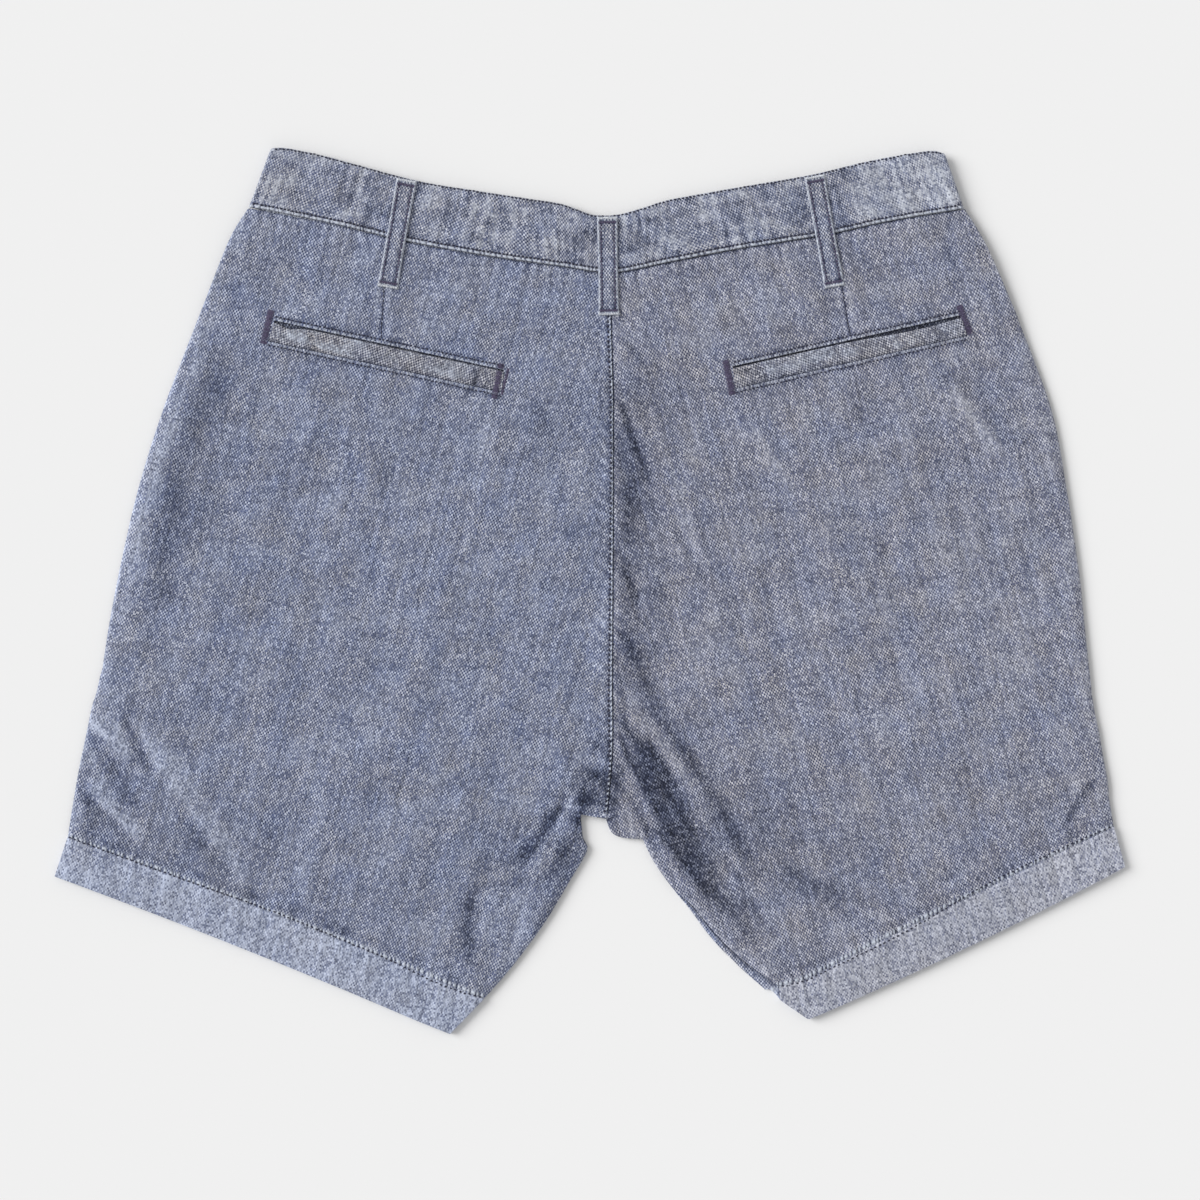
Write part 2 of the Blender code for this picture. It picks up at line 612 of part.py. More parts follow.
def front_loop(name, x):
    """A belt loop on the front, flat under the waistband."""
    share_out = abs(x - OPENING_X) / abs(BAND_LEFT[-1].top_x - OPENING_X)
    top_y = lerp(FRONT_BAND_TOP_Y, BAND_LEFT[-1].top_y, share_out)
    end_y = front_seam_y(x) - LOOP_BELOW_SEAM
    upper = FRONT_BAND_LIFT - SEAM_GAP

    def point(row, column, z):
        return Vector((x + (column - 1) * LOOP_WIDTH / 2, lerp(top_y, end_y, row / (FRONT_LOOP_ROWS - 1)), z))

    return sheet_piece(
        name, FRONT_LOOP_ROWS, 3,
        lambda row, column: point(row, column, upper - LOOP_WALL),
        lambda row, column: point(row, column, upper),
        CHAMBRAY_BAND,
    )


def pocket(rows, slit, welt_name, facing_name):
    """A back pocket: the welt that fills the slit below its mouth, and the facing seen through the mouth."""
    mouth, seam = row_named(rows, "pocket mouth"), row_named(rows, "welt seam")
    corners = [
        Vector((mouth.inner_x, mouth.inner_y)), Vector((mouth.side_x, mouth.side_y)),
        Vector((seam.inner_x, seam.inner_y)), Vector((seam.side_x, seam.side_y)),
    ]
    row_length = (corners[1] - corners[0]).length
    depth = (corners[2] - corners[0]).length
    gap_share, margin_share = SEAM_GAP / row_length, FACING_MARGIN / row_length
    welt_ends = (slit[0] + gap_share, slit[1] - gap_share)
    welt_rows = (SLIT / depth, *WELT_MIDDLE_ROWS, 1 - SEAM_GAP / depth)
    facing_ends = (slit[0] - margin_share, slit[1] + margin_share)
    facing_rows = (-FACING_ABOVE / depth, 0.5, 1 + FACING_BELOW / depth)

    def at(ends, down, column):
        share = lerp(*ends, column / (POCKET_COLUMNS - 1))
        return corners[0].lerp(corners[1], share).lerp(corners[2].lerp(corners[3], share), down)

    def welt_point(row, column, height):
        place = at(welt_ends, welt_rows[row], column)
        return Vector((place.x, place.y, back_bottom(place.x, place.y, 0.0, FAR_INSIDE) + height))

    def facing_point(row, column, height):
        place = at(facing_ends, facing_rows[row], column)
        return Vector((place.x, place.y, front_top(place.x, place.y, 0.0) + SEAM_GAP + height))

    sheet_piece(
        welt_name, len(welt_rows), POCKET_COLUMNS,
        lambda row, column: welt_point(row, column, 0.0),
        lambda row, column: welt_point(row, column, WELT_WALL),
        CHAMBRAY_WELT,
    )
    sheet_piece(
        facing_name, len(facing_rows), POCKET_COLUMNS,
        lambda row, column: facing_point(row, column, 0.0),
        lambda row, column: facing_point(row, column, FACING_WALL),
        CHAMBRAY_WELT,
    )


def waist_button():
    """The button under the front waistband: a disc with four sewing holes."""
    band_middle_y = (FRONT_BAND_TOP_Y + FRONT_SEAM_Y) / 2
    centre = Vector((OPENING_X - BUTTON_FROM_OPENING, band_middle_y + BUTTON_ABOVE_MIDDLE, 0))
    bm = bmesh.new()
    bmesh.ops.create_circle(bm, cap_ends=False, segments=32, radius=BUTTON_RADIUS)
    for k in range(4):
        angle = math.radians(45 + 90 * k)
        ring = bmesh.ops.create_circle(bm, cap_ends=False, segments=10, radius=BUTTON_HOLE_RADIUS)["verts"]
        away = Vector((math.cos(angle), math.sin(angle), 0)) * BUTTON_HOLE_SPREAD
        bmesh.ops.translate(bm, verts=ring, vec=away)
    bmesh.ops.triangle_fill(bm, use_beauty=True, edges=bm.edges[:])
    raised = bmesh.ops.extrude_face_region(bm, geom=bm.faces[:], use_keep_orig=True)["geom"]
    upper = [item for item in raised if isinstance(item, bmesh.types.BMVert)]
    bmesh.ops.translate(bm, verts=upper, vec=(0, 0, BUTTON_WALL))
    bmesh.ops.translate(bm, verts=bm.verts[:], vec=centre)
    add_piece("waist_button", bm, BUTTON_COLOUR)


def main():
    for old in list(bpy.data.objects):
        bpy.data.objects.remove(old, do_unlink=True)
    back_panel("back_left", LEFT_ROWS, LEFT_COLUMNS, LEFT_SLIT)
    back_panel("back_right", RIGHT_ROWS, RIGHT_COLUMNS, RIGHT_SLIT)
    front_panel("front_left", LEFT_ROWS, lapped=False)
    front_panel("front_right", RIGHT_ROWS, lapped=True)
    waistband("waistband_left", BAND_LEFT)
    waistband("waistband_right", BAND_RIGHT)
    for loop in BACK_LOOPS:
        back_loop(loop)
    for name, x in FRONT_LOOPS:
        front_loop(name, x)
    pocket(LEFT_ROWS, LEFT_SLIT, "welt_left", "pocket_facing_left")
    pocket(RIGHT_ROWS, RIGHT_SLIT, "welt_right", "pocket_facing_right")
    waist_button()


main()
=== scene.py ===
# %% [markdown]
# # Chambray shorts, laid flat with the back facing up
#
# The shorts lie on a table: the front panels rest on it, and the back panels lie on the front ones. The
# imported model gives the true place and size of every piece. This script gives each piece its looks: a thin
# shell of cloth with its creases, the weave, the seams and every stitch. It works in millimetres, and a
# mesh is turned into metres at the end of its making.

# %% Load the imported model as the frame
import math
from collections import namedtuple

import bmesh
import bpy
import numpy as np
from mathutils import Matrix, Vector
from mathutils.bvhtree import BVHTree


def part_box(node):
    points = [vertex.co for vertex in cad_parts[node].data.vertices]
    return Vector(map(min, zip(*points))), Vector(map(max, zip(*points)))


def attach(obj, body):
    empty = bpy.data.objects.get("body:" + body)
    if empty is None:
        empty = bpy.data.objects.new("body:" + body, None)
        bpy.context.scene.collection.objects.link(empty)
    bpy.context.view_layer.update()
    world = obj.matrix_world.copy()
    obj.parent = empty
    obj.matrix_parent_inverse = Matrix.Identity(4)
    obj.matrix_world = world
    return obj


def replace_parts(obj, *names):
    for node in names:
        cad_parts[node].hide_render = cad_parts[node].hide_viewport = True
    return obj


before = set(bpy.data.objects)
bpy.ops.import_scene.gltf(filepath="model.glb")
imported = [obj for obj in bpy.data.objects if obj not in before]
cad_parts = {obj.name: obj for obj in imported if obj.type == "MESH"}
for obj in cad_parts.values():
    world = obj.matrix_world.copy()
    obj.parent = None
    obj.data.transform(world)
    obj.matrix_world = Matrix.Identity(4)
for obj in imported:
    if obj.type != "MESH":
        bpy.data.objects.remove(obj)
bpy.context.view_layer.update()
MM = 0.001

# %% [markdown]
# ## Camera, table and light
#
# The shorts were seen from straight above. A long lens two metres up keeps the layers from leaning. One
# broad light stands low on the left, so that every crease has a bright flank and a dark one, and a pale sky
# fills in.

# %% Camera straight above
CAMERA_HEIGHT = 2.0
VIEW_WIDTH = 0.744
VIEW_CENTRE = (0.0065, -0.0059)
SENSOR_WIDTH = 36.0     # in mm, as a lens maker counts
camera_data = bpy.data.cameras.new("camera")
camera_data.sensor_width = SENSOR_WIDTH
camera_data.lens = camera_data.sensor_width * CAMERA_HEIGHT / VIEW_WIDTH
camera = bpy.data.objects.new("camera", camera_data)
camera.location = (*VIEW_CENTRE, CAMERA_HEIGHT)
bpy.context.scene.collection.objects.link(camera)
bpy.context.scene.camera = camera
bpy.context.scene.view_settings.view_transform = "Standard"
print("lens in mm:", round(camera_data.lens, 1))

# %% Table top
TABLE_SIZE = 6.0
TABLE_GREY = 0.84


def new_material(name, **values):
    """A material with its node tree and its shader. values are set on the shader's own sockets."""
    mat = bpy.data.materials.new(name)
    mat.use_nodes = True
    shader = mat.node_tree.nodes["Principled BSDF"]
    for socket, value in values.items():
        shader.inputs[socket.replace("_", " ")].default_value = value
    return mat, mat.node_tree, shader


floor_mesh = bpy.data.meshes.new("floor")
bm = bmesh.new()
bmesh.ops.create_grid(bm, x_segments=1, y_segments=1, size=TABLE_SIZE)
bm.to_mesh(floor_mesh)
bm.free()
floor = bpy.data.objects.new("floor", floor_mesh)
bpy.context.scene.collection.objects.link(floor)
pale_table = new_material(
    "pale table", Base_Color=(TABLE_GREY, TABLE_GREY, TABLE_GREY, 1), Roughness=0.9, Specular_IOR_Level=0.1
)
floor_mesh.materials.append(pale_table[0])
print("table side in metres:", 2 * TABLE_SIZE)

# %% Light from the left, and a pale sky
KEY_ELEVATION = math.radians(32)
KEY_AZIMUTH = math.radians(162)
KEY_STRENGTH = 2.95
KEY_SOFTNESS = math.radians(38)
SKY_STRENGTH = 0.54
key_data = bpy.data.lights.new("key", "SUN")
key_data.energy = KEY_STRENGTH
key_data.angle = KEY_SOFTNESS
key = bpy.data.objects.new("key", key_data)
key_from = Vector((
    math.cos(KEY_ELEVATION) * math.cos(KEY_AZIMUTH),
    math.cos(KEY_ELEVATION) * math.sin(KEY_AZIMUTH),
    math.sin(KEY_ELEVATION),
))
key.rotation_euler = key_from.to_track_quat("Z", "Y").to_euler()
bpy.context.scene.collection.objects.link(key)
world = bpy.data.worlds.new("sky")
world.use_nodes = True
sky = world.node_tree.nodes["Background"]
sky.inputs["Color"].default_value = (1, 1, 1, 1)
sky.inputs["Strength"].default_value = SKY_STRENGTH
bpy.context.scene.world = world
print("key light comes from", [round(c, 2) for c in key_from])

# %% [markdown]
# ## The cut of the shorts
#
# A tailor would describe each leg panel by the lines across it: the waist, the pocket mouth, the seat, the
# crotch, the hem. Each table row is such a line, with its inner end, at the middle seam or the inseam, and
# its side end. Between the rows the outline runs as a smooth curve, except where the cloth turns a corner.
# The outline could also be a long list of points, but a few named rows are easier to read and to alter.

# %% Walls, gaps and layers, in millimetres
PANEL_WALL = 1.2
SHELL = 0.7             # the cloth that shows is thinner than the solid's wall
HEM_EXTRA = 0.6
BAND_WALL = 1.8
SEAM_GAP = 0.3
CLOSE_GAP = 0.1         # between shells that are sewn together
WAIST_GAP = 0.4
SLIT = 1.2
FRONT_BAND_LIFT = 2.5   # the front waistband lies on its belt loops and its button
BAND_DROOP = 1.2        # the back waistband's top edge sags in the middle
DROOP_END = 0.77        # the share of the way to the side where that ends
LAYER_GAP = 2.0         # air between the front and back layers
MOST_AIR = 3.5
WAIST_LAYER_GAP = 1.0
POCKET_LAYER_GAP = 2.1
EDGE_ROUND = 8.0        # the back layer comes down to the front one over this width
LIFT_FLAT = 25.0        # from the waist seam: the panels are level to here
LIFT_END = 95.0         # and lie on the table from here
LOOP_WIDTH = 12.7
LOOP_BELOW_SEAM = 24.0
OPENING_X = 12.3
FRONT_BAND_TOP_Y = 217.5
FRONT_SEAM_Y = 180.0

# %% The waist: waistband top edge and waist seam, from the middle of the back to each side
Station = namedtuple("Station", "top_x top_y seam_x seam_y")
BAND_LEFT = (
    Station(12.0, 232.0, 12.5, 196.7),
    Station(1.5, 232.5, 3.5, 197.3),
    Station(-9.5, 236.5, -4.5, 198.5),
    Station(-19.0, 239.5, -13.5, 200.0),
    Station(-35.0, 242.0, -30.5, 202.4),
    Station(-66.5, 246.7, -68.0, 207.8),
    Station(-105.0, 253.0, -112.5, 216.0),
    Station(-143.0, 263.0, -151.5, 225.3),
    Station(-166.5, 269.3, -179.5, 231.3),
    Station(-187.0, 273.4, -200.0, 235.4),
    Station(-195.0, 273.6, -209.0, 236.8),
)
BAND_RIGHT = (
    Station(12.0, 232.0, 12.5, 196.7),
    Station(20.0, 233.0, 20.5, 197.2),
    Station(34.0, 237.0, 34.5, 200.0),
    Station(48.5, 241.5, 48.5, 203.0),
    Station(78.5, 247.0, 87.0, 210.5),
    Station(108.0, 252.0, 118.0, 215.5),
    Station(138.0, 257.2, 150.0, 220.8),
    Station(167.5, 264.3, 178.0, 227.0),
    Station(190.0, 268.8, 203.0, 231.6),
    Station(210.5, 271.8, 222.0, 234.6),
    Station(218.0, 270.6, 230.0, 236.0),
)

# %% The leg panels, row by row from the waist to the hem
Row = namedtuple(
    "Row", "name inner_x inner_y side_x side_y corner lap knee bow", defaults=(False, 0.0, None, 0.0)
)
LEFT_ROWS = (
    Row("waist", 12.5, 196.3, -211.0, 236.4),
    Row("below the waist", 12.8, 179.5, -222.5, 217.5),
    Row("pocket mouth", 14.5, 122.0, -239.0, 176.5),
    Row("welt seam", 14.5, 107.5, -244.0, 164.0),
    Row("seat", 14.5, 50.0, -264.0, 112.0),
    Row("hip", 14.3, -3.0, -279.5, 62.5),
    Row("below hip", 14.0, -55.5, -291.0, 12.5),
    Row("fork", 14.0, -99.0, -298.0, -24.5),
    Row("crotch", 10.5, -141.5, -301.5, -48.0, True),
    Row("crotch point", -5.5, -138.5, -303.0, -53.0, True),
    Row("inseam 1", -4.0, -153.5, -305.5, -64.0),
    Row("inseam 2", -1.5, -161.0, -308.0, -71.5),
    Row("inseam 3", -12.0, -179.5, -312.0, -91.0),
    Row("inseam 4", -27.0, -204.5, -316.0, -110.0),
    Row("inseam 5", -46.0, -230.5, -319.5, -130.0),
    Row("hem stitch", -65.0, -252.5, -323.0, -152.5, True, bow=-2.2),
    Row("hem edge", -86.3, -274.5, -331.0, -177.0, True, bow=-1.8),
)
RIGHT_ROWS = (
    Row("waist", 12.5, 196.3, 232.0, 236.0),
    Row("below the waist", 13.0, 176.5, 245.5, 213.5),
    Row("pocket mouth", 14.5, 122.0, 261.5, 177.5),
    Row("welt seam", 14.5, 107.5, 266.5, 165.0),
    Row("seat", 14.5, 50.0, 286.0, 112.0),
    Row("hip", 14.3, -3.0, 295.5, 62.5),
    Row("below hip", 14.0, -55.5, 303.0, 12.5),
    Row("fork", 14.0, -99.0, 307.0, -25.5),
    Row("crotch", 10.5, -142.0, 310.5, -58.0, True),
    Row("crotch bump", 13.5, -149.5, 311.0, -64.0),
    Row("bump foot", 20.0, -153.0, 312.0, -70.0),
    Row("bump end", 33.0, -154.0, 313.0, -76.5, True),
    Row("inseam 1", 40.5, -169.0, 315.5, -87.5),
    Row("inseam 2", 53.0, -185.5, 318.0, -102.5, False, 0.5),
    Row("inseam 3", 63.5, -195.0, 321.0, -118.5, False, 2.8),
    Row("inseam 4", 78.5, -213.0, 321.5, -127.0, False, 4.0),
    Row("inseam 5", 94.0, -228.0, 322.5, -133.5, False, 4.7),
    Row("hem stitch", 117.5, -245.0, 324.5, -146.0, True, 9.2, (133.5, -241.0), -1.2),
    Row("hem edge", 118.0, -253.5, 331.5, -171.0, True, 0.0, (135.5, -265.5), 2.8),
)
KNEE_SHARE = 0.08
LEFT_SLIT = (0.266, 0.826)
RIGHT_SLIT = (0.30, 0.87)

# %% The folds that the shorts were laid down with
Fold = namedtuple("Fold", "name start end bend height left_width right_width")
FOLD_POINTS = 9
FOLD_TAPER = 0.3        # the share of its length over which a fold dies away


def fold_table(*rows):
    return [Fold(*row) for row in rows]


FOLDS = fold_table(
    ("swell over the fork", (18, -50), (70, -195), 0, 1.4, 34, 30),
    ("ridge of the middle seam", (13.5, 170), (13.5, -140), 0, 0.9, 6, 26),
    ("trough across the right thigh", (17, -14), (112, -166), -6, -2.1, 26, 10),
    ("trough above the right hem", (106, -160), (200, -202), -8, -1.2, 8, 12),
    ("trough along the right inseam", (15, -66), (118, -222), 0, -2.4, 5, 26),
    ("ridge across the seat", (17, 162), (77, 0), 0, 1, 5, 16),
    ("trough beside the middle seam", (22, 140), (27, 20), -5, -1.4, 16, 6),
    ("line below the right pocket", (85, 124), (130, 56), 0, 0.7, 4, 12),
    ("line outside the right pocket", (218, 132), (263, 76), 0, 0.8, 5, 14),
    ("ridge from the crotch to the left hem", (-5, -126), (-46, -184), 5, 1.3, 11, 5),
    ("trough above that ridge", (-2, -106), (-70, -182), 5, -1.9, 5, 16),
    ("trough down to the left hem", (-66, -178), (-78, -240), -5, -1.6, 8, 14),
    ("left hem wrinkle 1", (-288, -64), (-206, -184), -5, 1.4, 22, 5.5),
    ("left hem wrinkle 2", (-315, -74), (-280, -108), 0, 1.1, 10, 5),
    ("left hem wrinkle 3", (-318, -112), (-270, -162), 0, 1.2, 7, 4.5),
    ("crest beside the left side seam", (-229, 172), (-290, -45), -9, 1.1, 13, 12),
    ("hollow in the fork", (10, -106), (-1, -139), 0, -1.6, 12, 12),
    ("wrinkle above the right hem", (148, -190), (196, -207), 0, 0.9, 8, 5),
)

# %% [markdown]
# ## Curves and heights
#
# The same few rules place every piece: a smooth curve through points, the distance from a path, and the
# height of each layer over the table. They take whole arrays of points at once, which keeps a fine mesh
# quick to make.


# %% Curves
def lerp(a, b, t):
    return a + (b - a) * t


def smooth(t):
    """0 to 1 with a soft start and end."""
    t = np.clip(t, 0.0, 1.0)
    return t * t * (3 - 2 * t)


def quarter_round(t):
    """0 to 1 as a quarter circle: steep at the edge, level further in."""
    t = np.clip(t, 0.0, 1.0)
    return np.sqrt(1 - (1 - t) ** 2)


def stack(*parts):
    """Arrays of x, y, z or any other values, as one array of points."""
    return np.stack(np.broadcast_arrays(*parts), axis=-1)


def bump_at(away, middle, width):
    """1 at the middle, dying away on both sides."""
    return np.exp(-(((away - middle) / width) ** 2))


def groove(away, depth, width):
    return -depth * bump_at(away, 0.0, width)


def curve_between(line, i, t):
    """A Catmull-Rom curve from point i of a line to the next point."""
    p1, p2 = line[i], line[i + 1]
    p0 = line[i - 1] if i else p1
    p3 = line[i + 2] if i + 2 < len(line) else p2
    start, end = (p2 - p0) * 0.5, (p3 - p1) * 0.5
    a = 2 * t**3 - 3 * t**2 + 1
    b = t**3 - 2 * t**2 + t
    return p1 * a + start * b + p2 * (1 - a) + end * (t**3 - t**2)


def curve_through(points, per_span):
    """A smooth line through points, as an array."""
    points = [np.array(p, float) for p in points]
    found = [curve_between(points, i, k / per_span) for i in range(len(points) - 1) for k in range(per_span)]
    return np.array(found + [points[-1]])


def distance_to_path(x, y, path):
    """How far points are from a path, where along it as a share, and whether they are on its left."""
    best = np.full(np.shape(x), 1e9)
    place = np.zeros(np.shape(x))
    on_left = np.zeros(np.shape(x), bool)
    for i, (a, b) in enumerate(zip(path, path[1:])):
        dx, dy = b[0] - a[0], b[1] - a[1]
        t = np.clip(((x - a[0]) * dx + (y - a[1]) * dy) / (dx * dx + dy * dy), 0, 1)
        away = np.hypot(x - a[0] - t * dx, y - a[1] - t * dy)
        nearer = away < best
        best = np.where(nearer, away, best)
        place = np.where(nearer, (i + t) / (len(path) - 1), place)
        on_left = np.where(nearer, dx * (y - a[1]) > dy * (x - a[0]), on_left)
    return best, place, on_left


def bent_path(start, end, bend):
    """Points from start to end, bent to the left in the middle."""
    start, end = np.array(start), np.array(end)
    along = (end - start) / np.linalg.norm(end - start)
    left = np.array([-along[1], along[0]])
    shares = np.linspace(0, 1, FOLD_POINTS)
    return [lerp(start, end, t) + left * bend * 4 * t * (1 - t) for t in shares]


def rise_of(folds, x, y):
    """The height that a table of folds adds at points."""
    total = np.zeros(np.shape(x))
    for fold in folds:
        away, place, on_left = distance_to_path(x, y, bent_path(fold.start, fold.end, fold.bend))
        width = np.where(on_left, fold.left_width, fold.right_width)
        full = smooth(np.minimum(place, 1 - place) / FOLD_TAPER)
        total += fold.height * full * bump_at(away, 0.0, width)
    return total


# %% The seams that several pieces share
CURVE_STEPS = 10
WAIST = BAND_LEFT[::-1] + BAND_RIGHT[1:]
BACK_SEAM = curve_through([(s.seam_x, s.seam_y) for s in WAIST], CURVE_STEPS)


def back_seam_y(x):
    return np.interp(x, BACK_SEAM[:, 0], BACK_SEAM[:, 1])


def front_seam_y(x):
    sides = (BAND_LEFT[-1].seam_x, OPENING_X, BAND_RIGHT[-1].seam_x)
    return np.interp(x, sides, (BAND_LEFT[-1].seam_y, FRONT_SEAM_Y, BAND_RIGHT[-1].seam_y))


def row_named(rows, name):
    return next(row for row in rows if row.name == name)


def inner_of(row):
    return np.array((row.inner_x, row.inner_y))


def side_of(row):
    return np.array((row.side_x, row.side_y))


def pocket_ends(rows, slit, name):
    """Both ends of the pocket slit on a row: its mouth or its welt seam."""
    row = row_named(rows, name)
    return [lerp(inner_of(row), side_of(row), share) for share in slit]


POCKETS = ((LEFT_ROWS, LEFT_SLIT), (RIGHT_ROWS, RIGHT_SLIT))
POCKET_MOUTHS = [pocket_ends(rows, slit, "pocket mouth") for rows, slit in POCKETS]
NEAR_POCKET = 26.0      # the back lies even this close to a pocket
POCKET_FADE = 22.0
POCKET_FLATTENS = 0.6
HEM_FLATTENS = 0.7


# %% The height of each layer
def waist_lift(x, y):
    below = front_seam_y(x) - y
    return 1 - smooth((below - LIFT_FLAT) / (LIFT_END - LIFT_FLAT))


def front_top(x, y, hem):
    return PANEL_WALL + FRONT_BAND_LIFT * waist_lift(x, y) + HEM_EXTRA * hem


def back_bottom(x, y, hem, from_edge):
    """The under side of the back layer's solid. from_edge is the distance to the panel's free edge."""
    lift = waist_lift(x, y)
    from_pocket = np.minimum(*[distance_to_path(x, y, mouth)[0] for mouth in POCKET_MOUTHS])
    near_pocket = 1 - smooth((from_pocket - NEAR_POCKET) / POCKET_FADE)
    air = lerp(LAYER_GAP, POCKET_LAYER_GAP, near_pocket)
    air = air + rise_of(FOLDS, x, y) * (1 - POCKET_FLATTENS * near_pocket)
    air = lerp(np.clip(air, SEAM_GAP, MOST_AIR), WAIST_LAYER_GAP, lift)
    rise = quarter_round(from_edge / EDGE_ROUND) * (1 - HEM_FLATTENS * hem)
    return front_top(x, y, hem) + SEAM_GAP + rise * (air - SEAM_GAP)


def band_top_z():
    return FRONT_BAND_LIFT + 2 * BAND_WALL + SEAM_GAP


# %% [markdown]
# ## Chambray
#
# Chambray is a plain weave: indigo warp yarns run down the leg, and pale weft yarns run across it. Each
# yarn is a little uneven, so the cloth is full of short streaks, light and dark, both ways. A picture of
# cloth would blur close up and repeat further off, so the yarns are worked out instead. One node group
# weaves them on a piece's own UV map, which is in metres along the grain. Each kind of cloth then uses the
# group with its own yarns. A value on the mesh makes rubbed edges paler, and it also paints shade into the
# creases, hollows and seam ditches and highlights onto the ridges.


# %% Node helpers
def new_node(tree, kind, inputs=(), **settings):
    """Adds a node. An input that is a socket is linked, any other is set."""
    node = tree.nodes.new(kind)
    for key, value in settings.items():
        setattr(node, key, value)
    for key, value in dict(inputs).items():
        if isinstance(value, bpy.types.NodeSocket):
            tree.links.new(value, node.inputs[key])
        else:
            node.inputs[key].default_value = value
    return node


def maths(tree, operation, *values):
    return new_node(tree, "ShaderNodeMath", enumerate(values), operation=operation).outputs[0]


def times(tree, a, b):
    return maths(tree, "MULTIPLY", a, b)


def plus(tree, a, b):
    return maths(tree, "ADD", a, b)


def vectors(tree, operation, inputs):
    return new_node(tree, "ShaderNodeVectorMath", inputs, operation=operation).outputs["Vector"]


def blend(tree, share, a, b, mode="MIX"):
    """Mixes two colours."""
    inputs = {0: share, 6: a, 7: b}
    return new_node(tree, "ShaderNodeMix", inputs, data_type="RGBA", blend_type=mode).outputs[2]


def spread(tree, value, low, high, to_low=0.0, to_high=1.0):
    """Stretches the values from low to high over the values from to_low to to_high."""
    inputs = {"Value": value, "From Min": low, "From Max": high, "To Min": to_low, "To Max": to_high}
    return new_node(tree, "ShaderNodeMapRange", inputs, clamp=True).outputs["Result"]


def new_group(name, inputs, outputs):
    """A node group with its sockets, as (name, kind, value) in and (name, kind) out."""
    group = bpy.data.node_groups.new(name, "ShaderNodeTree")
    for label, kind, value in inputs:
        socket = group.interface.new_socket(name=label, in_out="INPUT", socket_type="NodeSocket" + kind)
        if value is not None:
            socket.default_value = value
    for label, kind in outputs:
        group.interface.new_socket(name=label, in_out="OUTPUT", socket_type="NodeSocket" + kind)
    return group, new_node(group, "NodeGroupInput").outputs, new_node(group, "NodeGroupOutput").inputs


# %% The weave as a node group
YARNS_PER_METRE = 930.0
CELL_SHAPE = (1.12, 0.88, 1)            # the weft is a little thicker than the warp
WANDERING = ((0.04, 2.5), (0.4, 0.4))   # how the yarns stray: waves in each yarn's width, and reach in yarns
STRETCHES = ((1.0, 0.0), (4.0, 300.0), (34.0, 700.0))   # crossings in a stretch of even tone, and a seed
WARP_SHARES = (0.6, 0.2, 0.2)
WEFT_SHARES = (0.75, 0.2, 0.05)
RIB_LENGTH = 45.0
DEEPEST = 0.2                           # how much light a crease with painted shade of -1 keeps
SHADE_POWERS = (("Red", 1.0), ("Green", 0.94), ("Blue", 0.8))
BLUE_PATCH = (0.95, 0.99, 1.06, 1)
WARM_PATCH = (1.05, 1.01, 0.95, 1)
WEAVE_INPUTS = (
    ("Cloth", "Vector", None),
    ("Wear and shade", "Float", 0.0),
    ("Yarns per metre", "Float", YARNS_PER_METRE),
    ("Warp dark", "Color", (0.05, 0.07, 0.14, 1)),
    ("Warp light", "Color", (0.2, 0.24, 0.36, 1)),
    ("Weft dark", "Color", (0.2, 0.22, 0.28, 1)),
    ("Weft light", "Color", (0.6, 0.62, 0.66, 1)),
    ("Fade", "Color", (0.45, 0.47, 0.52, 1)),
)


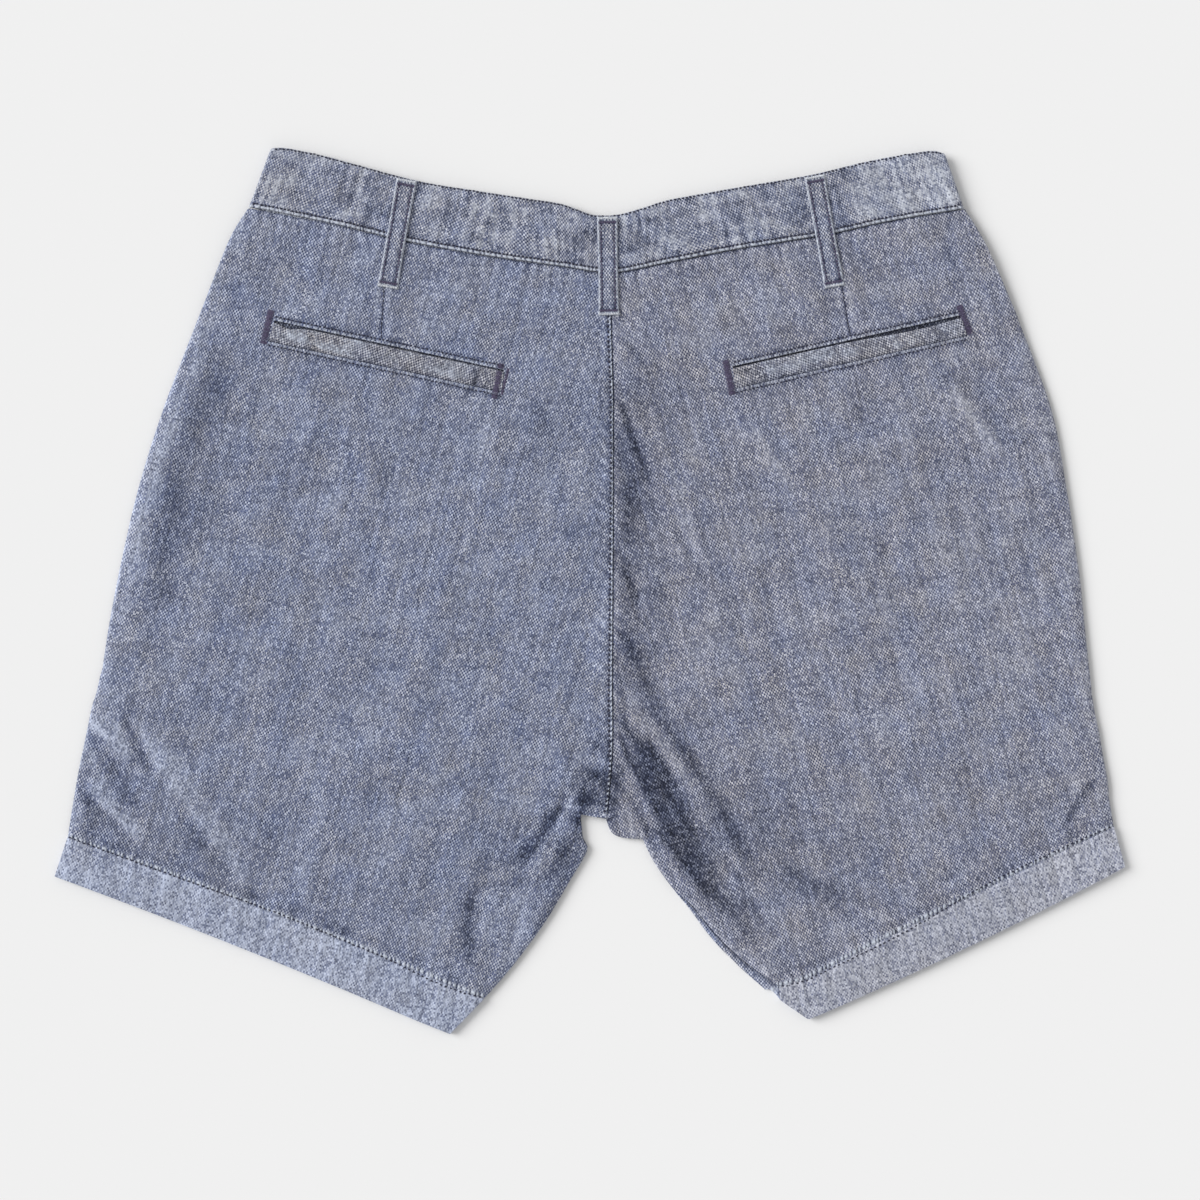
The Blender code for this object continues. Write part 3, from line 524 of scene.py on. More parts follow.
def weave_group():
    outputs = (("Color", "Color"), ("Height", "Float"), ("Roughness", "Float"))
    group, given, out = new_group("plain weave", WEAVE_INPUTS, outputs)
    straight = vectors(group, "SCALE", {"Vector": given["Cloth"], "Scale": given["Yarns per metre"]})
    yarns = straight
    for scale, reach in WANDERING:
        noise = new_node(group, "ShaderNodeTexNoise", {"Vector": straight, "Scale": scale, "Detail": 1.0})
        away = vectors(group, "SUBTRACT", {0: noise.outputs["Color"], 1: (0.5, 0.5, 0.5)})
        moved = vectors(group, "SCALE", {"Vector": away, "Scale": reach})
        yarns = vectors(group, "ADD", {0: yarns, 1: moved})
    yarns = vectors(group, "MULTIPLY", {0: yarns, 1: CELL_SHAPE})
    apart = new_node(group, "ShaderNodeSeparateXYZ", {"Vector": yarns}).outputs

    def clouds(scale, low, high):
        """Soft patches, as wide as 1 / scale yarns."""
        noise = new_node(group, "ShaderNodeTexNoise", {"Vector": yarns, "Scale": scale, "Detail": 3.0})
        return spread(group, noise.outputs["Fac"], 0.3, 0.7, low, high)

    def chance(dimensions, inputs):
        node = new_node(group, "ShaderNodeTexWhiteNoise", inputs, noise_dimensions=dimensions)
        return node.outputs["Value"]

    def tone_of_yarns(across, along, length, seed):
        """A random tone for each stretch of each yarn: length counts the crossings in a stretch."""
        yarn = plus(group, maths(group, "FLOOR", across), seed)
        start = times(group, chance("1D", {"W": yarn}), 9.0)
        stretch = plus(group, maths(group, "DIVIDE", along, length), start)
        where = new_node(group, "ShaderNodeCombineXYZ", {"X": yarn, "Y": maths(group, "FLOOR", stretch)})
        return chance("2D", {"Vector": where.outputs[0]})

    def yarn_tone(across, along, seed, shares):
        """Light and dark along one set of yarns: single crossings, slubs, and long even stretches."""
        single, slub, even = [
            times(group, tone_of_yarns(across, along, length, seed + more), share)
            for (length, more), share in zip(STRETCHES, shares)
        ]
        return plus(group, single, plus(group, slub, even))

    warp_tone = yarn_tone(apart["X"], apart["Y"], 11.0, WARP_SHARES)
    weft_tone = yarn_tone(apart["Y"], apart["X"], 57.0, WEFT_SHARES)
    over = new_node(group, "ShaderNodeTexChecker", {"Vector": yarns, "Scale": 1.0}).outputs["Fac"]
    warp = blend(group, warp_tone, given["Warp dark"], given["Warp light"])
    weft = blend(group, weft_tone, given["Weft dark"], given["Weft light"])
    hue = blend(group, clouds(0.055, 0.0, 1.0), BLUE_PATCH, WARM_PATCH)
    woven = blend(group, 1.0, blend(group, over, warp, weft), hue, "MULTIPLY")
    # positive values mix towards the faded colour: rubbed wear, and painted highlights on ridges and lit
    # flanks
    pale_wear_and_highlight = spread(group, given["Wear and shade"], 0.0, 1.0)
    pale_wear_and_highlight = times(group, pale_wear_and_highlight, spread(group, weft_tone, 0.25, 0.75, 0.2, 1.0))
    woven = blend(group, pale_wear_and_highlight, woven, given["Fade"])

    rib = tone_of_yarns(times(group, apart["X"], 0.5), apart["Y"], RIB_LENGTH, 900.0)
    cloudy = times(group, clouds(0.02, 0.95, 1.05), clouds(0.17, 0.93, 1.07))
    cloudy = times(group, cloudy, spread(group, rib, 0.0, 1.0, 0.87, 1.13))
    # negative values darken the cloth: painted shade in creases, hollows and seam ditches
    shade = spread(group, given["Wear and shade"], -1.0, 0.0, DEEPEST, 1.0)
    shade = maths(group, "POWER", shade, spread(group, weft_tone, 0.2, 0.8, 1.35, 0.65))
    deep = new_node(group, "ShaderNodeCombineColor", {
        channel: times(group, cloudy, maths(group, "POWER", shade, power)) for channel, power in SHADE_POWERS
    }).outputs[0]
    group.links.new(blend(group, 1.0, woven, deep, "MULTIPLY"), out["Color"])

    def crown(across):
        return maths(group, "ABSOLUTE", maths(group, "SINE", times(group, across, math.pi)))

    under = maths(group, "SUBTRACT", 1.0, over)
    crowns = plus(group, times(group, crown(apart["X"]), under), times(group, crown(apart["Y"]), over))
    slubs = times(group, plus(group, warp_tone, weft_tone), 0.7)
    group.links.new(plus(group, times(group, crowns, 0.5), slubs), out["Height"])
    group.links.new(spread(group, warp_tone, 0.2, 0.8, 0.8, 0.98), out["Roughness"])
    return group


WEAVE = weave_group()
print("weave group nodes:", len(WEAVE.nodes))

# %% Roping: how a sewn edge puckers between its stitches
BEAD_PITCH = 3.1        # in mm: the beads are as far apart as the hem's stitches
BEAD_WOBBLE = 1.3
PUCKER_PITCH = 6.0


def roping_group():
    """From a mesh value "seam": mm along the seam, strength of the beads, strength of the puckers."""
    outputs = [(label, "Float") for label in ("Wear and shade", "Pale", "Height")]
    group, given, out = new_group("roped seam", (("Seam", "Vector", None),), outputs)
    seam = new_node(group, "ShaderNodeSeparateXYZ", {"Vector": given["Seam"]}).outputs

    def noise_along(shift, scale, detail):
        inputs = {"W": plus(group, seam["X"], shift), "Scale": scale, "Detail": detail}
        return new_node(group, "ShaderNodeTexNoise", inputs, noise_dimensions="1D").outputs["Fac"]

    wobble = times(group, noise_along(0.0, 0.6 / BEAD_PITCH, 1.0), BEAD_WOBBLE)
    turns = plus(group, maths(group, "DIVIDE", seam["X"], BEAD_PITCH), wobble)
    beads = times(group, maths(group, "SINE", times(group, turns, 2 * math.pi)), 0.5)
    beads = plus(group, beads, 0.5)
    puckers = spread(group, noise_along(500.0, 1 / PUCKER_PITCH, 2.0), 0.32, 0.68)
    # the ditches between the beads get painted shade, and the puckers get painted shade in their troughs and
    # painted light on their crests; the beads themselves are rubbed pale
    bead_shade = times(group, spread(group, beads, 0.0, 0.4, -0.5, 0.0), seam["Y"])
    pucker_light_and_shade = times(group, spread(group, puckers, 0.0, 1.0, -0.24, 0.2), seam["Z"])
    pale = times(group, spread(group, beads, 0.3, 0.65, 0.0, 0.95), seam["Y"])
    height = plus(group, times(group, beads, seam["Y"]), times(group, puckers, seam["Z"]))
    group.links.new(plus(group, bead_shade, pucker_light_and_shade), out["Wear and shade"])
    group.links.new(pale, out["Pale"])
    group.links.new(height, out["Height"])
    return group


ROPING = roping_group()
print("roping group nodes:", len(ROPING.nodes))

# %% Kinds of cloth
Cloth = namedtuple("Cloth", "slot warp_dark warp_light weft_dark weft_light fade")
PANEL_CLOTH = Cloth(
    "chambray", (0.015, 0.021, 0.056), (0.125, 0.151, 0.274), (0.085, 0.102, 0.165), (0.6, 0.635, 0.735),
    (0.52, 0.575, 0.72),
)
RIGHT_CLOTH = Cloth(
    "chambray", (0.017, 0.021, 0.052), (0.135, 0.152, 0.26), (0.095, 0.105, 0.152), (0.63, 0.645, 0.715),
    (0.53, 0.55, 0.625),
)
BAND_CLOTH = Cloth(
    "chambray_band", (0.018, 0.024, 0.06), (0.15, 0.177, 0.295), (0.1, 0.114, 0.17), (0.665, 0.685, 0.755),
    (0.56, 0.59, 0.66),
)
WELT_CLOTH = Cloth(
    "chambray_welt", (0.008, 0.009, 0.025), (0.14, 0.15, 0.22), (0.08, 0.083, 0.115), (0.66, 0.665, 0.71),
    (0.5, 0.56, 0.67),
)
ROPE_BUMP = 0.5         # millimetres, as is the next
WEAVE_BUMP = 0.3
WEAVE_BUMP_STRENGTH = 0.3
PALE_YARN = (0.6, 0.65, 0.74, 1)


def cloth_material(name, cloth):
    """A matt woven cloth with a trace of sheen from its loose fibres."""
    mat, tree, shader = new_material(name, Sheen_Weight=0.12, Sheen_Roughness=0.5, Specular_IOR_Level=0.2)
    wear_and_shade = new_node(tree, "ShaderNodeAttribute", attribute_name="wear_and_shade").outputs["Fac"]
    seam = new_node(tree, "ShaderNodeAttribute", attribute_name="seam").outputs["Vector"]
    roped = new_node(tree, "ShaderNodeGroup", {"Seam": seam}, node_tree=ROPING).outputs
    inputs = {
        "Cloth": new_node(tree, "ShaderNodeUVMap", uv_map="grain").outputs["UV"],
        "Wear and shade": plus(tree, wear_and_shade, roped["Wear and shade"]),
    }
    for socket in ("Warp dark", "Warp light", "Weft dark", "Weft light", "Fade"):
        inputs[socket] = (*getattr(cloth, socket.lower().replace(" ", "_")), 1)
    woven = new_node(tree, "ShaderNodeGroup", inputs, node_tree=WEAVE).outputs
    rope_bump = new_node(
        tree, "ShaderNodeBump", {"Height": roped["Height"], "Strength": 1.0, "Distance": ROPE_BUMP * MM}
    )
    bump = new_node(tree, "ShaderNodeBump", {
        "Height": woven["Height"], "Strength": WEAVE_BUMP_STRENGTH, "Distance": WEAVE_BUMP * MM,
        "Normal": rope_bump.outputs["Normal"],
    })
    colour = blend(tree, roped["Pale"], woven["Color"], PALE_YARN)
    tree.links.new(colour, shader.inputs["Base Color"])
    tree.links.new(woven["Roughness"], shader.inputs["Roughness"])
    tree.links.new(bump.outputs["Normal"], shader.inputs["Normal"])
    return mat


PANEL_MATERIAL = cloth_material("chambray", PANEL_CLOTH)
RIGHT_MATERIAL = cloth_material("chambray, paler", RIGHT_CLOTH)
BAND_MATERIAL = cloth_material("chambray in layers", BAND_CLOTH)
WELT_MATERIAL = cloth_material("chambray on the bias", WELT_CLOTH)
print("cloth materials: 4")

# %% [markdown]
# ## A sheet of cloth
#
# Every cloth piece is made in the same way. A flat grid is laid down with one vertex for each row and
# column, the vertices are moved to the cloth's under side, and the whole grid is extruded to its upper
# side. That is a closed wall with a real edge all round, which a single surface would not have.


# %% The sheet maker
def cloth_sheet(name, over, under, grain, wear_and_shade, mat, slot, seam=None, open_cells=None):
    """over, under and seam are rows x columns x 3 and grain is rows x columns x 2, all in mm."""
    rows, columns = over.shape[:2]
    bm = bmesh.new()
    bmesh.ops.create_grid(bm, x_segments=columns - 1, y_segments=rows - 1, size=0.5)
    row_of, column_of = bm.verts.layers.int.new("row"), bm.verts.layers.int.new("column")
    # the value that makes the colour paler or darker: rubbed wear, and painted shade and highlight
    wear_and_shade_layer = bm.verts.layers.float.new("wear_and_shade")
    sewn_at = bm.verts.layers.float_vector.new("seam")
    for vert in bm.verts:
        vert[column_of] = round((vert.co.x + 0.5) * (columns - 1))
        vert[row_of] = round((0.5 - vert.co.y) * (rows - 1))
        vert[wear_and_shade_layer] = wear_and_shade[vert[row_of], vert[column_of]]
        if seam is not None:
            vert[sewn_at] = seam[vert[row_of], vert[column_of]]
    if open_cells is not None:
        cut = [
            face for face in bm.faces
            if open_cells[min(v[row_of] for v in face.verts), min(v[column_of] for v in face.verts)]
        ]
        bmesh.ops.delete(bm, geom=cut, context="FACES")
    for vert in bm.verts:
        vert.co = under[vert[row_of], vert[column_of]]
    raised = bmesh.ops.extrude_face_region(bm, geom=bm.faces[:], use_keep_orig=True)["geom"]
    for vert in (item for item in raised if isinstance(item, bmesh.types.BMVert)):
        vert.co = over[vert[row_of], vert[column_of]]
    bmesh.ops.recalc_face_normals(bm, faces=bm.faces[:])
    if bm.calc_volume(signed=True) < 0:
        bmesh.ops.reverse_faces(bm, faces=bm.faces[:])
    uv = bm.loops.layers.uv.new("grain")
    for face in bm.faces:
        for loop in face.loops:
            loop[uv].uv = grain[loop.vert[row_of], loop.vert[column_of]] * MM
    return finish_piece(name, bm, mat, slot)


def finish_piece(name, bm, mat, slot, sharp=60):
    """Turns a bmesh in millimetres into an object in metres that rides on the shorts."""
    bmesh.ops.scale(bm, vec=(MM, MM, MM), verts=bm.verts[:])
    mesh = bpy.data.meshes.new(name)
    bm.to_mesh(mesh)
    bm.free()
    mesh.materials.append(mat)
    mesh.shade_smooth()
    mesh.set_sharp_from_angle(angle=math.radians(sharp))
    piece = bpy.data.objects.new(name, mesh)
    bpy.context.scene.collection.objects.link(piece)
    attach(piece, "root")
    return piece


def grain_of(x, y, lean):
    """UV along the yarns, in mm. lean is how many degrees the warp leans to the left going up."""
    c, s = math.cos(math.radians(lean)), math.sin(math.radians(lean))
    return stack(x * c + y * s, -x * s + y * c)


def crease_highlight_and_shade(z, reach, strength):
    """Painted highlight on ridges (positive) and painted shade in hollows (negative), from how far each point
    is from its neighbours' mean.
    """
    blurred = z.copy()
    for _ in range(reach):
        blurred[1:-1] = (blurred[:-2] + 2 * blurred[1:-1] + blurred[2:]) / 4
        blurred[:, 1:-1] = (blurred[:, :-2] + 2 * blurred[:, 1:-1] + blurred[:, 2:]) / 4
    return (z - blurred) * strength


def uneven(x, y, wavelength, seed):
    """A soft random swell between about -1 and 1: a few waves in different directions, unevenly spaced."""
    random = np.random.default_rng(seed)
    total = np.zeros(np.shape(x))
    waves = 7
    for _ in range(waves):
        angle = random.uniform(0, math.pi)
        length = wavelength * random.uniform(0.6, 1.7)
        phase = random.uniform(0, 2 * math.pi)
        total += np.sin((x * math.cos(angle) + y * math.sin(angle)) * 2 * math.pi / length + phase)
    return total / math.sqrt(waves)


# %% [markdown]
# ## The leg panels
#
# A panel is drawn in rows, from the waist to the hem, and in columns, from its inner edge to its side seam.
# Both are close together where the cloth does something small: at the middle seam, round the pocket and in
# the hem. A cloth simulation could crease the panels, but its creases fall where they like. These have to
# lie where they were seen, so each one is listed in a table, and moves the mesh.

# %% Fine rows of a panel
ROW_SPACING = 2.15
HEM_ROW_SPACING = 1.5
SEWN_ROWS = ("waist", "pocket mouth", "welt seam", "hem stitch")
BESIDE_SEAM = (0.5, 1.0, 1.6, 2.4, 3.4)     # extra mesh rows on each side of a sewn row
BESIDE_EDGE = (0.0, 0.4, 0.9, 1.6, 2.4, 3.4, 4.6, 6.0, 7.8)     # mesh columns at both ends of a row
LEAST_ROW_GAP = 0.3
Lines = namedtuple("Lines", "names inner knee side lap bow waist down")


def knee_of(row):
    return np.array(row.knee) if row.knee else lerp(inner_of(row), side_of(row), KNEE_SHARE)


def fine_rows(rows, spacing, hem_spacing):
    """Every mesh row of a panel. down is how far a row lies below the hem's stitch line, as a share."""
    runs, run = [], [rows[0]]
    for row in rows[1:]:
        run.append(row)
        if row.corner:
            runs.append(run)
            run = [row]
    waist_y, mouth_y = rows[0].inner_y, row_named(rows, "pocket mouth").inner_y
    fine = []
    for run in runs:
        inner, knee, side = [[place(r) for r in run] for place in (inner_of, knee_of, side_of)]
        for i in range(len(run) - 1):
            is_hem = run[i].name == "hem stitch"
            longest = max(np.linalg.norm(line[i + 1] - line[i]) for line in (inner, side))
            count = max(1, math.ceil(longest / (hem_spacing if is_hem else spacing)))
            shares = [k / count for k in range(count + is_hem)]
            beside = [e / longest for e in BESIDE_SEAM] if longest > 3 * BESIDE_SEAM[-1] else []
            shares += beside if run[i].name in SEWN_ROWS else []
            shares += [1 - e for e in beside] if run[i + 1].name in SEWN_ROWS else []
            shares = sorted(shares)
            kept = [t for k, t in enumerate(shares) if k == 0 or t - shares[k - 1] > LEAST_ROW_GAP / longest]
            for t in kept:
                at = [curve_between(line, i, t) for line in (inner, knee, side)]
                fine.append((
                    run[i].name, *at, lerp(run[i].lap, run[i + 1].lap, t),
                    lerp(run[i].bow, run[i + 1].bow, t),
                    max(0.0, (at[0][1] - mouth_y) / (waist_y - mouth_y)), t if is_hem else -1.0,
                ))
    names, *arrays = zip(*fine)
    return Lines(names, *[np.array(a) for a in arrays])


def along_rows(lines, shares):
    """x and y at every share of every row."""
    s = shares[None, :, None]
    inner, knee, side = (a[:, None, :] for a in (lines.inner, lines.knee, lines.side))
    near = lerp(inner, knee, s / KNEE_SHARE)
    t = (s - KNEE_SHARE) / (1 - KNEE_SHARE)
    far = lerp(knee, side, t)
    far[:, :, 1] -= lines.bow[:, None] * (4 * t * (1 - t))[:, :, 0]
    return np.where(s < KNEE_SHARE, near, far)


def follow_waist(at, waist):
    """Moves the upper rows so that the first one follows the curved waist seam."""
    first, middle, last = BAND_LEFT[-1], BAND_LEFT[0], BAND_RIGHT[-1]
    ends = (first.seam_x, middle.seam_x, last.seam_x)
    straight = np.interp(at[:, :, 0], ends, (first.seam_y, middle.seam_y, last.seam_y))
    at[:, :, 1] += waist[:, None] * (back_seam_y(at[:, :, 0]) - straight)
    return at


def fine_shares(width, spacing, marks):
    """Shares of a row, spacing apart, closer at both ends, with the marks among them."""
    fixed = sorted([e / width for e in BESIDE_EDGE] + [1 - e / width for e in BESIDE_EDGE] + list(marks))
    shares = []
    for a, b in zip(fixed, fixed[1:]):
        count = max(1, math.ceil((b - a) * width / spacing - 0.2))
        shares += [lerp(a, b, k / count) for k in range(count)]
    return np.array(shares + [1.0])


# %% Creases that only show as light and shade, with the seams' own relief
CREASES = fold_table(
    ("crease from the seam to the inseam", (15.5, -71), (70, -157), -1, -0.4, 2.2, 3),
    ("crest over the crotch, pressed", (24, -60), (108, -184), 0, -1.1, 8, 7),
    ("right inseam trough, filled out", (36, -98), (112, -213), 0, 1.1, 6, 16),
    ("seam trough, filled out", (22, 140), (27, 20), -5, 0.9, 16, 6),
    ("seat ridge, pressed", (17, 162), (77, 0), 0, -0.5, 5, 14),
    ("trough above the crotch crest, filled out", (-2, -106), (-70, -182), 5, 1.1, 5, 14),
    ("crotch crest, pressed", (-5, -126), (-46, -184), 5, -0.8, 11, 5),
    ("left hem trough, filled out", (-66, -178), (-78, -240), -5, 1, 8, 12),
    ("crotch crease 1", (14, -60), (52, -150), -3, -0.5, 3, 5),
    ("crotch crease 2", (19, -90), (39, -128), 0, -0.4, 2.4, 3),
    ("crotch crease 3", (16, -112), (60, -200), 1, -0.6, 3.5, 3),
    ("crease in the right inseam", (40, -176), (100, -236), 2, 0.5, 3, 3.5),
    ("crease under the middle seam", (17.5, 122), (42, 58), -1, -0.3, 2.2, 2.2),
    ("crease across the right seat", (48, 46), (77, -2), 0, -0.25, 2.2, 2.2),
    ("small crease at the seam 1", (22, 154), (38, 135), 0, -0.2, 2.5, 2),
    ("small crease at the seam 2", (19, 17), (32, -13), 0, -0.3, 2.5, 2),
    ("small crease at the seam 3", (15, -20), (30, -48), 1, -0.4, 5, 2),
    ("crease below the left pocket", (-37, 124), (-22, 92), 0, -0.3, 4, 6),
    ("crotch crease left 1", (-2, -124), (-30, -146), 2, -0.2, 3, 3),
    ("crotch crease left 2", (-18, -150), (-56, -192), 3, -0.25, 3, 3.5),
    ("bright line to the left hem", (-7, -119), (-50, -183), 4.5, 0.5, 1.8, 1.8),
    ("crease at the left hem", (-79, -200), (-72, -242), 3, -0.25, 4, 4),
    ("left corner crease 1", (-313, -84), (-290, -122), 1, -0.6, 3.5, 4),
    ("left corner crease 2", (-316, -124), (-286, -150), 0, -0.5, 3, 4),
    ("left corner crease 3", (-290, -70), (-268, -120), -2, -0.5, 4, 3),
    ("right corner crease", (290, -152), (317, -112), 1, -0.5, 3, 4),
    ("right hem crease", (196, -196), (236, -170), 2, -0.35, 4, 3),
    ("hip crease right", (162, 118), (182, 92), 0, -0.3, 3, 4),
    ("hip crease left", (-236, 120), (-262, 40), -3, -0.4, 6, 9),
)
DARTS = (((-127.0, 189.0), (-129.0, 155.5)), ((155.5, 190.0), (161.0, 159.0)))
WAIST_PUCKER = 7.5      # from one pucker to the next, as are the next two
SEAM_PUCKER = 9.5
HEM_ROPE = 4.6
FELL_EDGE_X = 14.3
FORK_Y = -140.0
SEAM_SLANT = 0.9        # how far a pucker leans, as a share of its length
HEM_SLANT = 0.45

# %% Painted light and shade on the creases and flanks of the back panels: here a fold's height is its tone
PAINTED_LIGHT_AND_SHADE = fold_table(
    ("shade from the fork", (22, -84), (76, -200), 0, -0.42, 15, 15),
    ("shade low on the right thigh", (78, -104), (156, -190), 0, -0.24, 22, 22),
    ("deep shade beside the crotch bump", (34, -102), (68, -182), 0, -0.42, 9, 9),
    ("inner thigh, shaded", (52, -104), (92, -206), 0, -0.12, 16, 16),
    ("shade under the inseam trough", (60, -150), (108, -220), 0, -0.3, 12, 12),
    ("shade right of the thigh's line", (92, -140), (126, -200), 0, -0.24, 10, 10),
    ("shade over the fork", (3, -84), (9, -112), 0, -0.3, 6, 6),
    ("shade at the foot of the middle seam", (17, -98), (13.5, -154), 0, -0.65, 5, 5),
    ("dark line along the seam's foot", (12.5, -58), (12, -140), 0, -0.35, 3, 3),
    ("shade above the crotch bump", (31, -98), (51, -164), 0, -0.4, 6, 6),
    ("crease along the lap", (64, -172), (114, -230), 0, -0.35, 3, 3),
    ("shade between the crotch creases", (24, -62), (54, -116), 0, -0.2, 6, 6),
    ("line from the seam to the inseam", (15.5, -71), (70, -157), -1, -0.8, 1.5, 2.1),
    ("line into the crotch bump", (16, -86), (39, -130), 0, -0.7, 1.5, 2.1),
    ("line along the right inseam", (34, -141), (80, -198), 2, -0.65, 2, 2.6),
    ("blue beside the seam", (18, -26), (18, -130), 0, -0.16, 5, 4),
    ("shade in the fork", (6, -110), (5, -150), 0, -0.32, 8, 8),
    ("darkest end of the fork's rim", (-3, -118), (-5.5, -150), 0, -0.9, 3.8, 4.2),
    ("rim of the fork", (12, -110), (-6, -132), -6, -0.45, 2.4, 2.4),
    ("shade across the right thigh", (18, -22), (110, -184), -5, -0.28, 5, 6),
    ("sharp start of that shade", (21, -48), (48, -89), 0, -0.35, 1.7, 2.2),
    ("end of that shade", (82, -136), (110, -186), 0, -0.24, 5, 6),
    ("shade above the right hem", (108, -158), (204, -203), -8, -0.16, 9, 10),
    ("wall over the inseam trough, dulled", (20, -68), (96, -180), 0, -0.5, 6, 6),
    ("inseam trough, brightened", (46, -112), (112, -214), 0, 0.34, 4, 4),
    ("dark band beside the middle seam", (24, 176), (27, -80), 0, -0.4, 20, 11),
    ("dark line across the seat 1", (17.5, 122), (42, 58), -1, -0.42, 1.7, 2.2),
    ("dark line across the seat 2", (46, 48), (78, -4), 0, -0.3, 1.8, 2.4),
    ("dark line across the seat 3", (26, 86), (28, 44), 0, -0.18, 4.5, 4.5),
    ("dark line across the seat 4", (21, 156), (40, 133), 0, -0.3, 2, 2.5),
    ("dark line across the seat 5", (19, 20), (33, -15), 0, -0.42, 1.8, 2.2),
    ("far side of the seat ridge", (50, 94), (80, 24), 0, 0.12, 5, 5),
    ("dark line beside the right pocket", (86, 123), (104, 90), 0, -0.35, 1.8, 2.2),
    ("dark line left of the right pocket", (54, 120), (83, 125), 0, -0.25, 1.6, 1.8),
    ("pale line right of the right pocket", (218, 134), (262, 78), 0, 0.15, 3, 5),
    ("pale right thigh", (230, 60), (270, -100), 0, 0.1, 40, 30),
    ("right corner shade", (288, -154), (318, -110), 1, -0.35, 3, 5),
    ("dark band inside the left side", (-214, 172), (-270, -40), -10, -0.34, 15, 15),
    ("pale left side", (-226, 176), (-290, -20), -8, 0.2, 5, 5),
    ("pale streak at the left corner 1", (-301, -70), (-284, -106), 2, 0.3, 2.6, 3),
    ("pale streak at the left corner 2", (-308, -104), (-272, -154), -2, 0.3, 3, 3.2),
    ("pale streak at the left corner 3", (-276, -80), (-208, -186), 3, 0.26, 3.6, 3.6),
    ("left corner shade 1", (-317, -106), (-298, -160), -3, -0.42, 4.5, 5),
    ("left corner shade 2", (-304, -96), (-270, -142), -2, -0.3, 5, 6.5),
    ("left corner shade 3", (-244, -142), (-234, -180), 0, -0.24, 6, 6),
    ("left corner shade 4", (-201, -136), (-196, -172), 0, -0.22, 5, 5),
    ("shade on the hem's left corner", (-326, -152), (-290, -172), 0, -0.34, 9, 9),
    ("left hem wrinkle, brightened", (-290, -74), (-252, -150), 2, 0.3, 4, 4),
    ("shade above the crotch crest", (0, -104), (-64, -182), 6, -0.1, 3, 6),
    ("crotch crest, dulled", (-8, -124), (-56, -188), 1, -0.65, 6, 6),
    ("thin line on the crotch crest", (-7, -118), (-50, -183), 4.5, 0.5, 1.4, 1.4),
    ("shade below the crotch crest", (-2, -128), (-38, -190), 3, -0.6, 9, 7),
    ("dark notch under the crotch crest", (-20, -148), (-17, -170), 0, -0.4, 3.2, 3.2),
    ("line at the end of the crest", (-70, -184), (-44, -181), 0, -0.45, 1.8, 1.8),
    ("fold down to the left hem", (-58, -156), (-76, -240), -7, -0.55, 5, 6),
    ("dulled flank of that fold", (-62, -182), (-67, -238), 0, -0.16, 5, 5),
    ("dark left inseam", (-1, -144), (-42, -222), 4, -0.45, 3.5, 3.5),
    ("pale patch above the left hem", (-38, -184), (-62, -224), 0, 0.12, 12, 12),
    ("crease beside the left fork", (12, -84), (-14, -126), 0, -0.4, 2, 2),
    ("crease left of the seam", (2, -42), (-20, -70), 0, -0.25, 3, 3),
    ("faint line below the left pocket", (-37, 126), (-22, 92), 0, -0.2, 3, 3),
    ("dark band left of the middle seam", (6, 160), (4, -100), 0, -0.05, 14, 9),
)


def waves(along, pitch, wobble, away, height, reach):
    """Puckers along a seam, which die away from it."""
    return height * np.sin(along * 2 * math.pi / pitch + wobble) * bump_at(away, 0.0, reach)


def small_relief(x, y, hem_down, along_hem):
    """Everything on a back panel that is finer than its solid: creases, darts, puckers and the roped hem."""
    z = rise_of(CREASES, x, y)
    for path in DARTS:
        away, place, _ = distance_to_path(x, y, path)
        z += groove(away, 0.45, 1.1) * smooth((1.02 - place) / 0.2) + 0.25 * bump_at(away, 3.0, 2.0)
    below_waist, from_seam = back_seam_y(x) - y, x - FELL_EDGE_X
    z += waves(x, WAIST_PUCKER, 1.4 * uneven(x, y, 60.0, 5), below_waist, 0.16, 11.0)
    z += groove(below_waist, 0.5, 1.6)
    wobble = 1.7 * uneven(x, y, 70.0, 9)
    z += waves(y + SEAM_SLANT * from_seam, SEAM_PUCKER, wobble, from_seam, 0.16, 12.0) * (y > FORK_Y)
    z += 0.22 * uneven(x, y, 75.0, 2) + 0.08 * uneven(x, y, 24.0, 3)
    rope = waves(along_hem + HEM_SLANT * hem_down, HEM_ROPE, 1.9 * uneven(x, y, 40.0, 7), hem_down, 0.2, 9.0)
    return z + rope * (0.55 + 0.45 * uneven(x, y, 55.0, 8)) + groove(hem_down, 0.45, 0.9)


print("creases placed by hand:", len(FOLDS) + len(CREASES))


# %% What a sewn row does to the cloth beside it
HEM_TONE = 0.64
NO_SEAM = 99.0


def along_row(row):
    """The direction of a row, towards the side seam."""
    along = side_of(row) - inner_of(row)
    return along / np.linalg.norm(along)


def beyond_row(row, x, y):
    """How far points lie above a row."""
    along = along_row(row)
    up = np.array((-along[1], along[0])) * np.sign(along[0])
    return (x - row.inner_x) * up[0] + (y - row.inner_y) * up[1]


def beyond_hem_stitch(rows, lines, x, y):
    """How far along the hem a point lies, and how far it is beyond the hem's stitch line."""
    along = along_row(row_named(rows, "hem stitch"))
    stitch_row = lines.names.index("hem stitch")
    return x * along[0] + y * along[1], (y[stitch_row][None, :] - y) * abs(along[0])


def beside_pocket(rows, slit, shares, x, y):
    """How far a point lies along the pocket, above its mouth and below its welt, and if it is beside it."""
    mouth, seam = row_named(rows, "pocket mouth"), row_named(rows, "welt seam")
    along = along_row(mouth)
    beside = smooth((shares - slit[0]) / 0.01 + 0.5) * smooth((slit[1] - shares) / 0.01 + 0.5)
    return x * along[0] + y * along[1], beyond_row(mouth, x, y), -beyond_row(seam, x, y), beside[None, :]


# %% The back panels
FELL_WIDTH = 7.5        # the felled middle seam stands up on the left panel
FELL_RISE = 0.14
HEM_TURN = 0.06         # the share of the hem over which its second layer begins


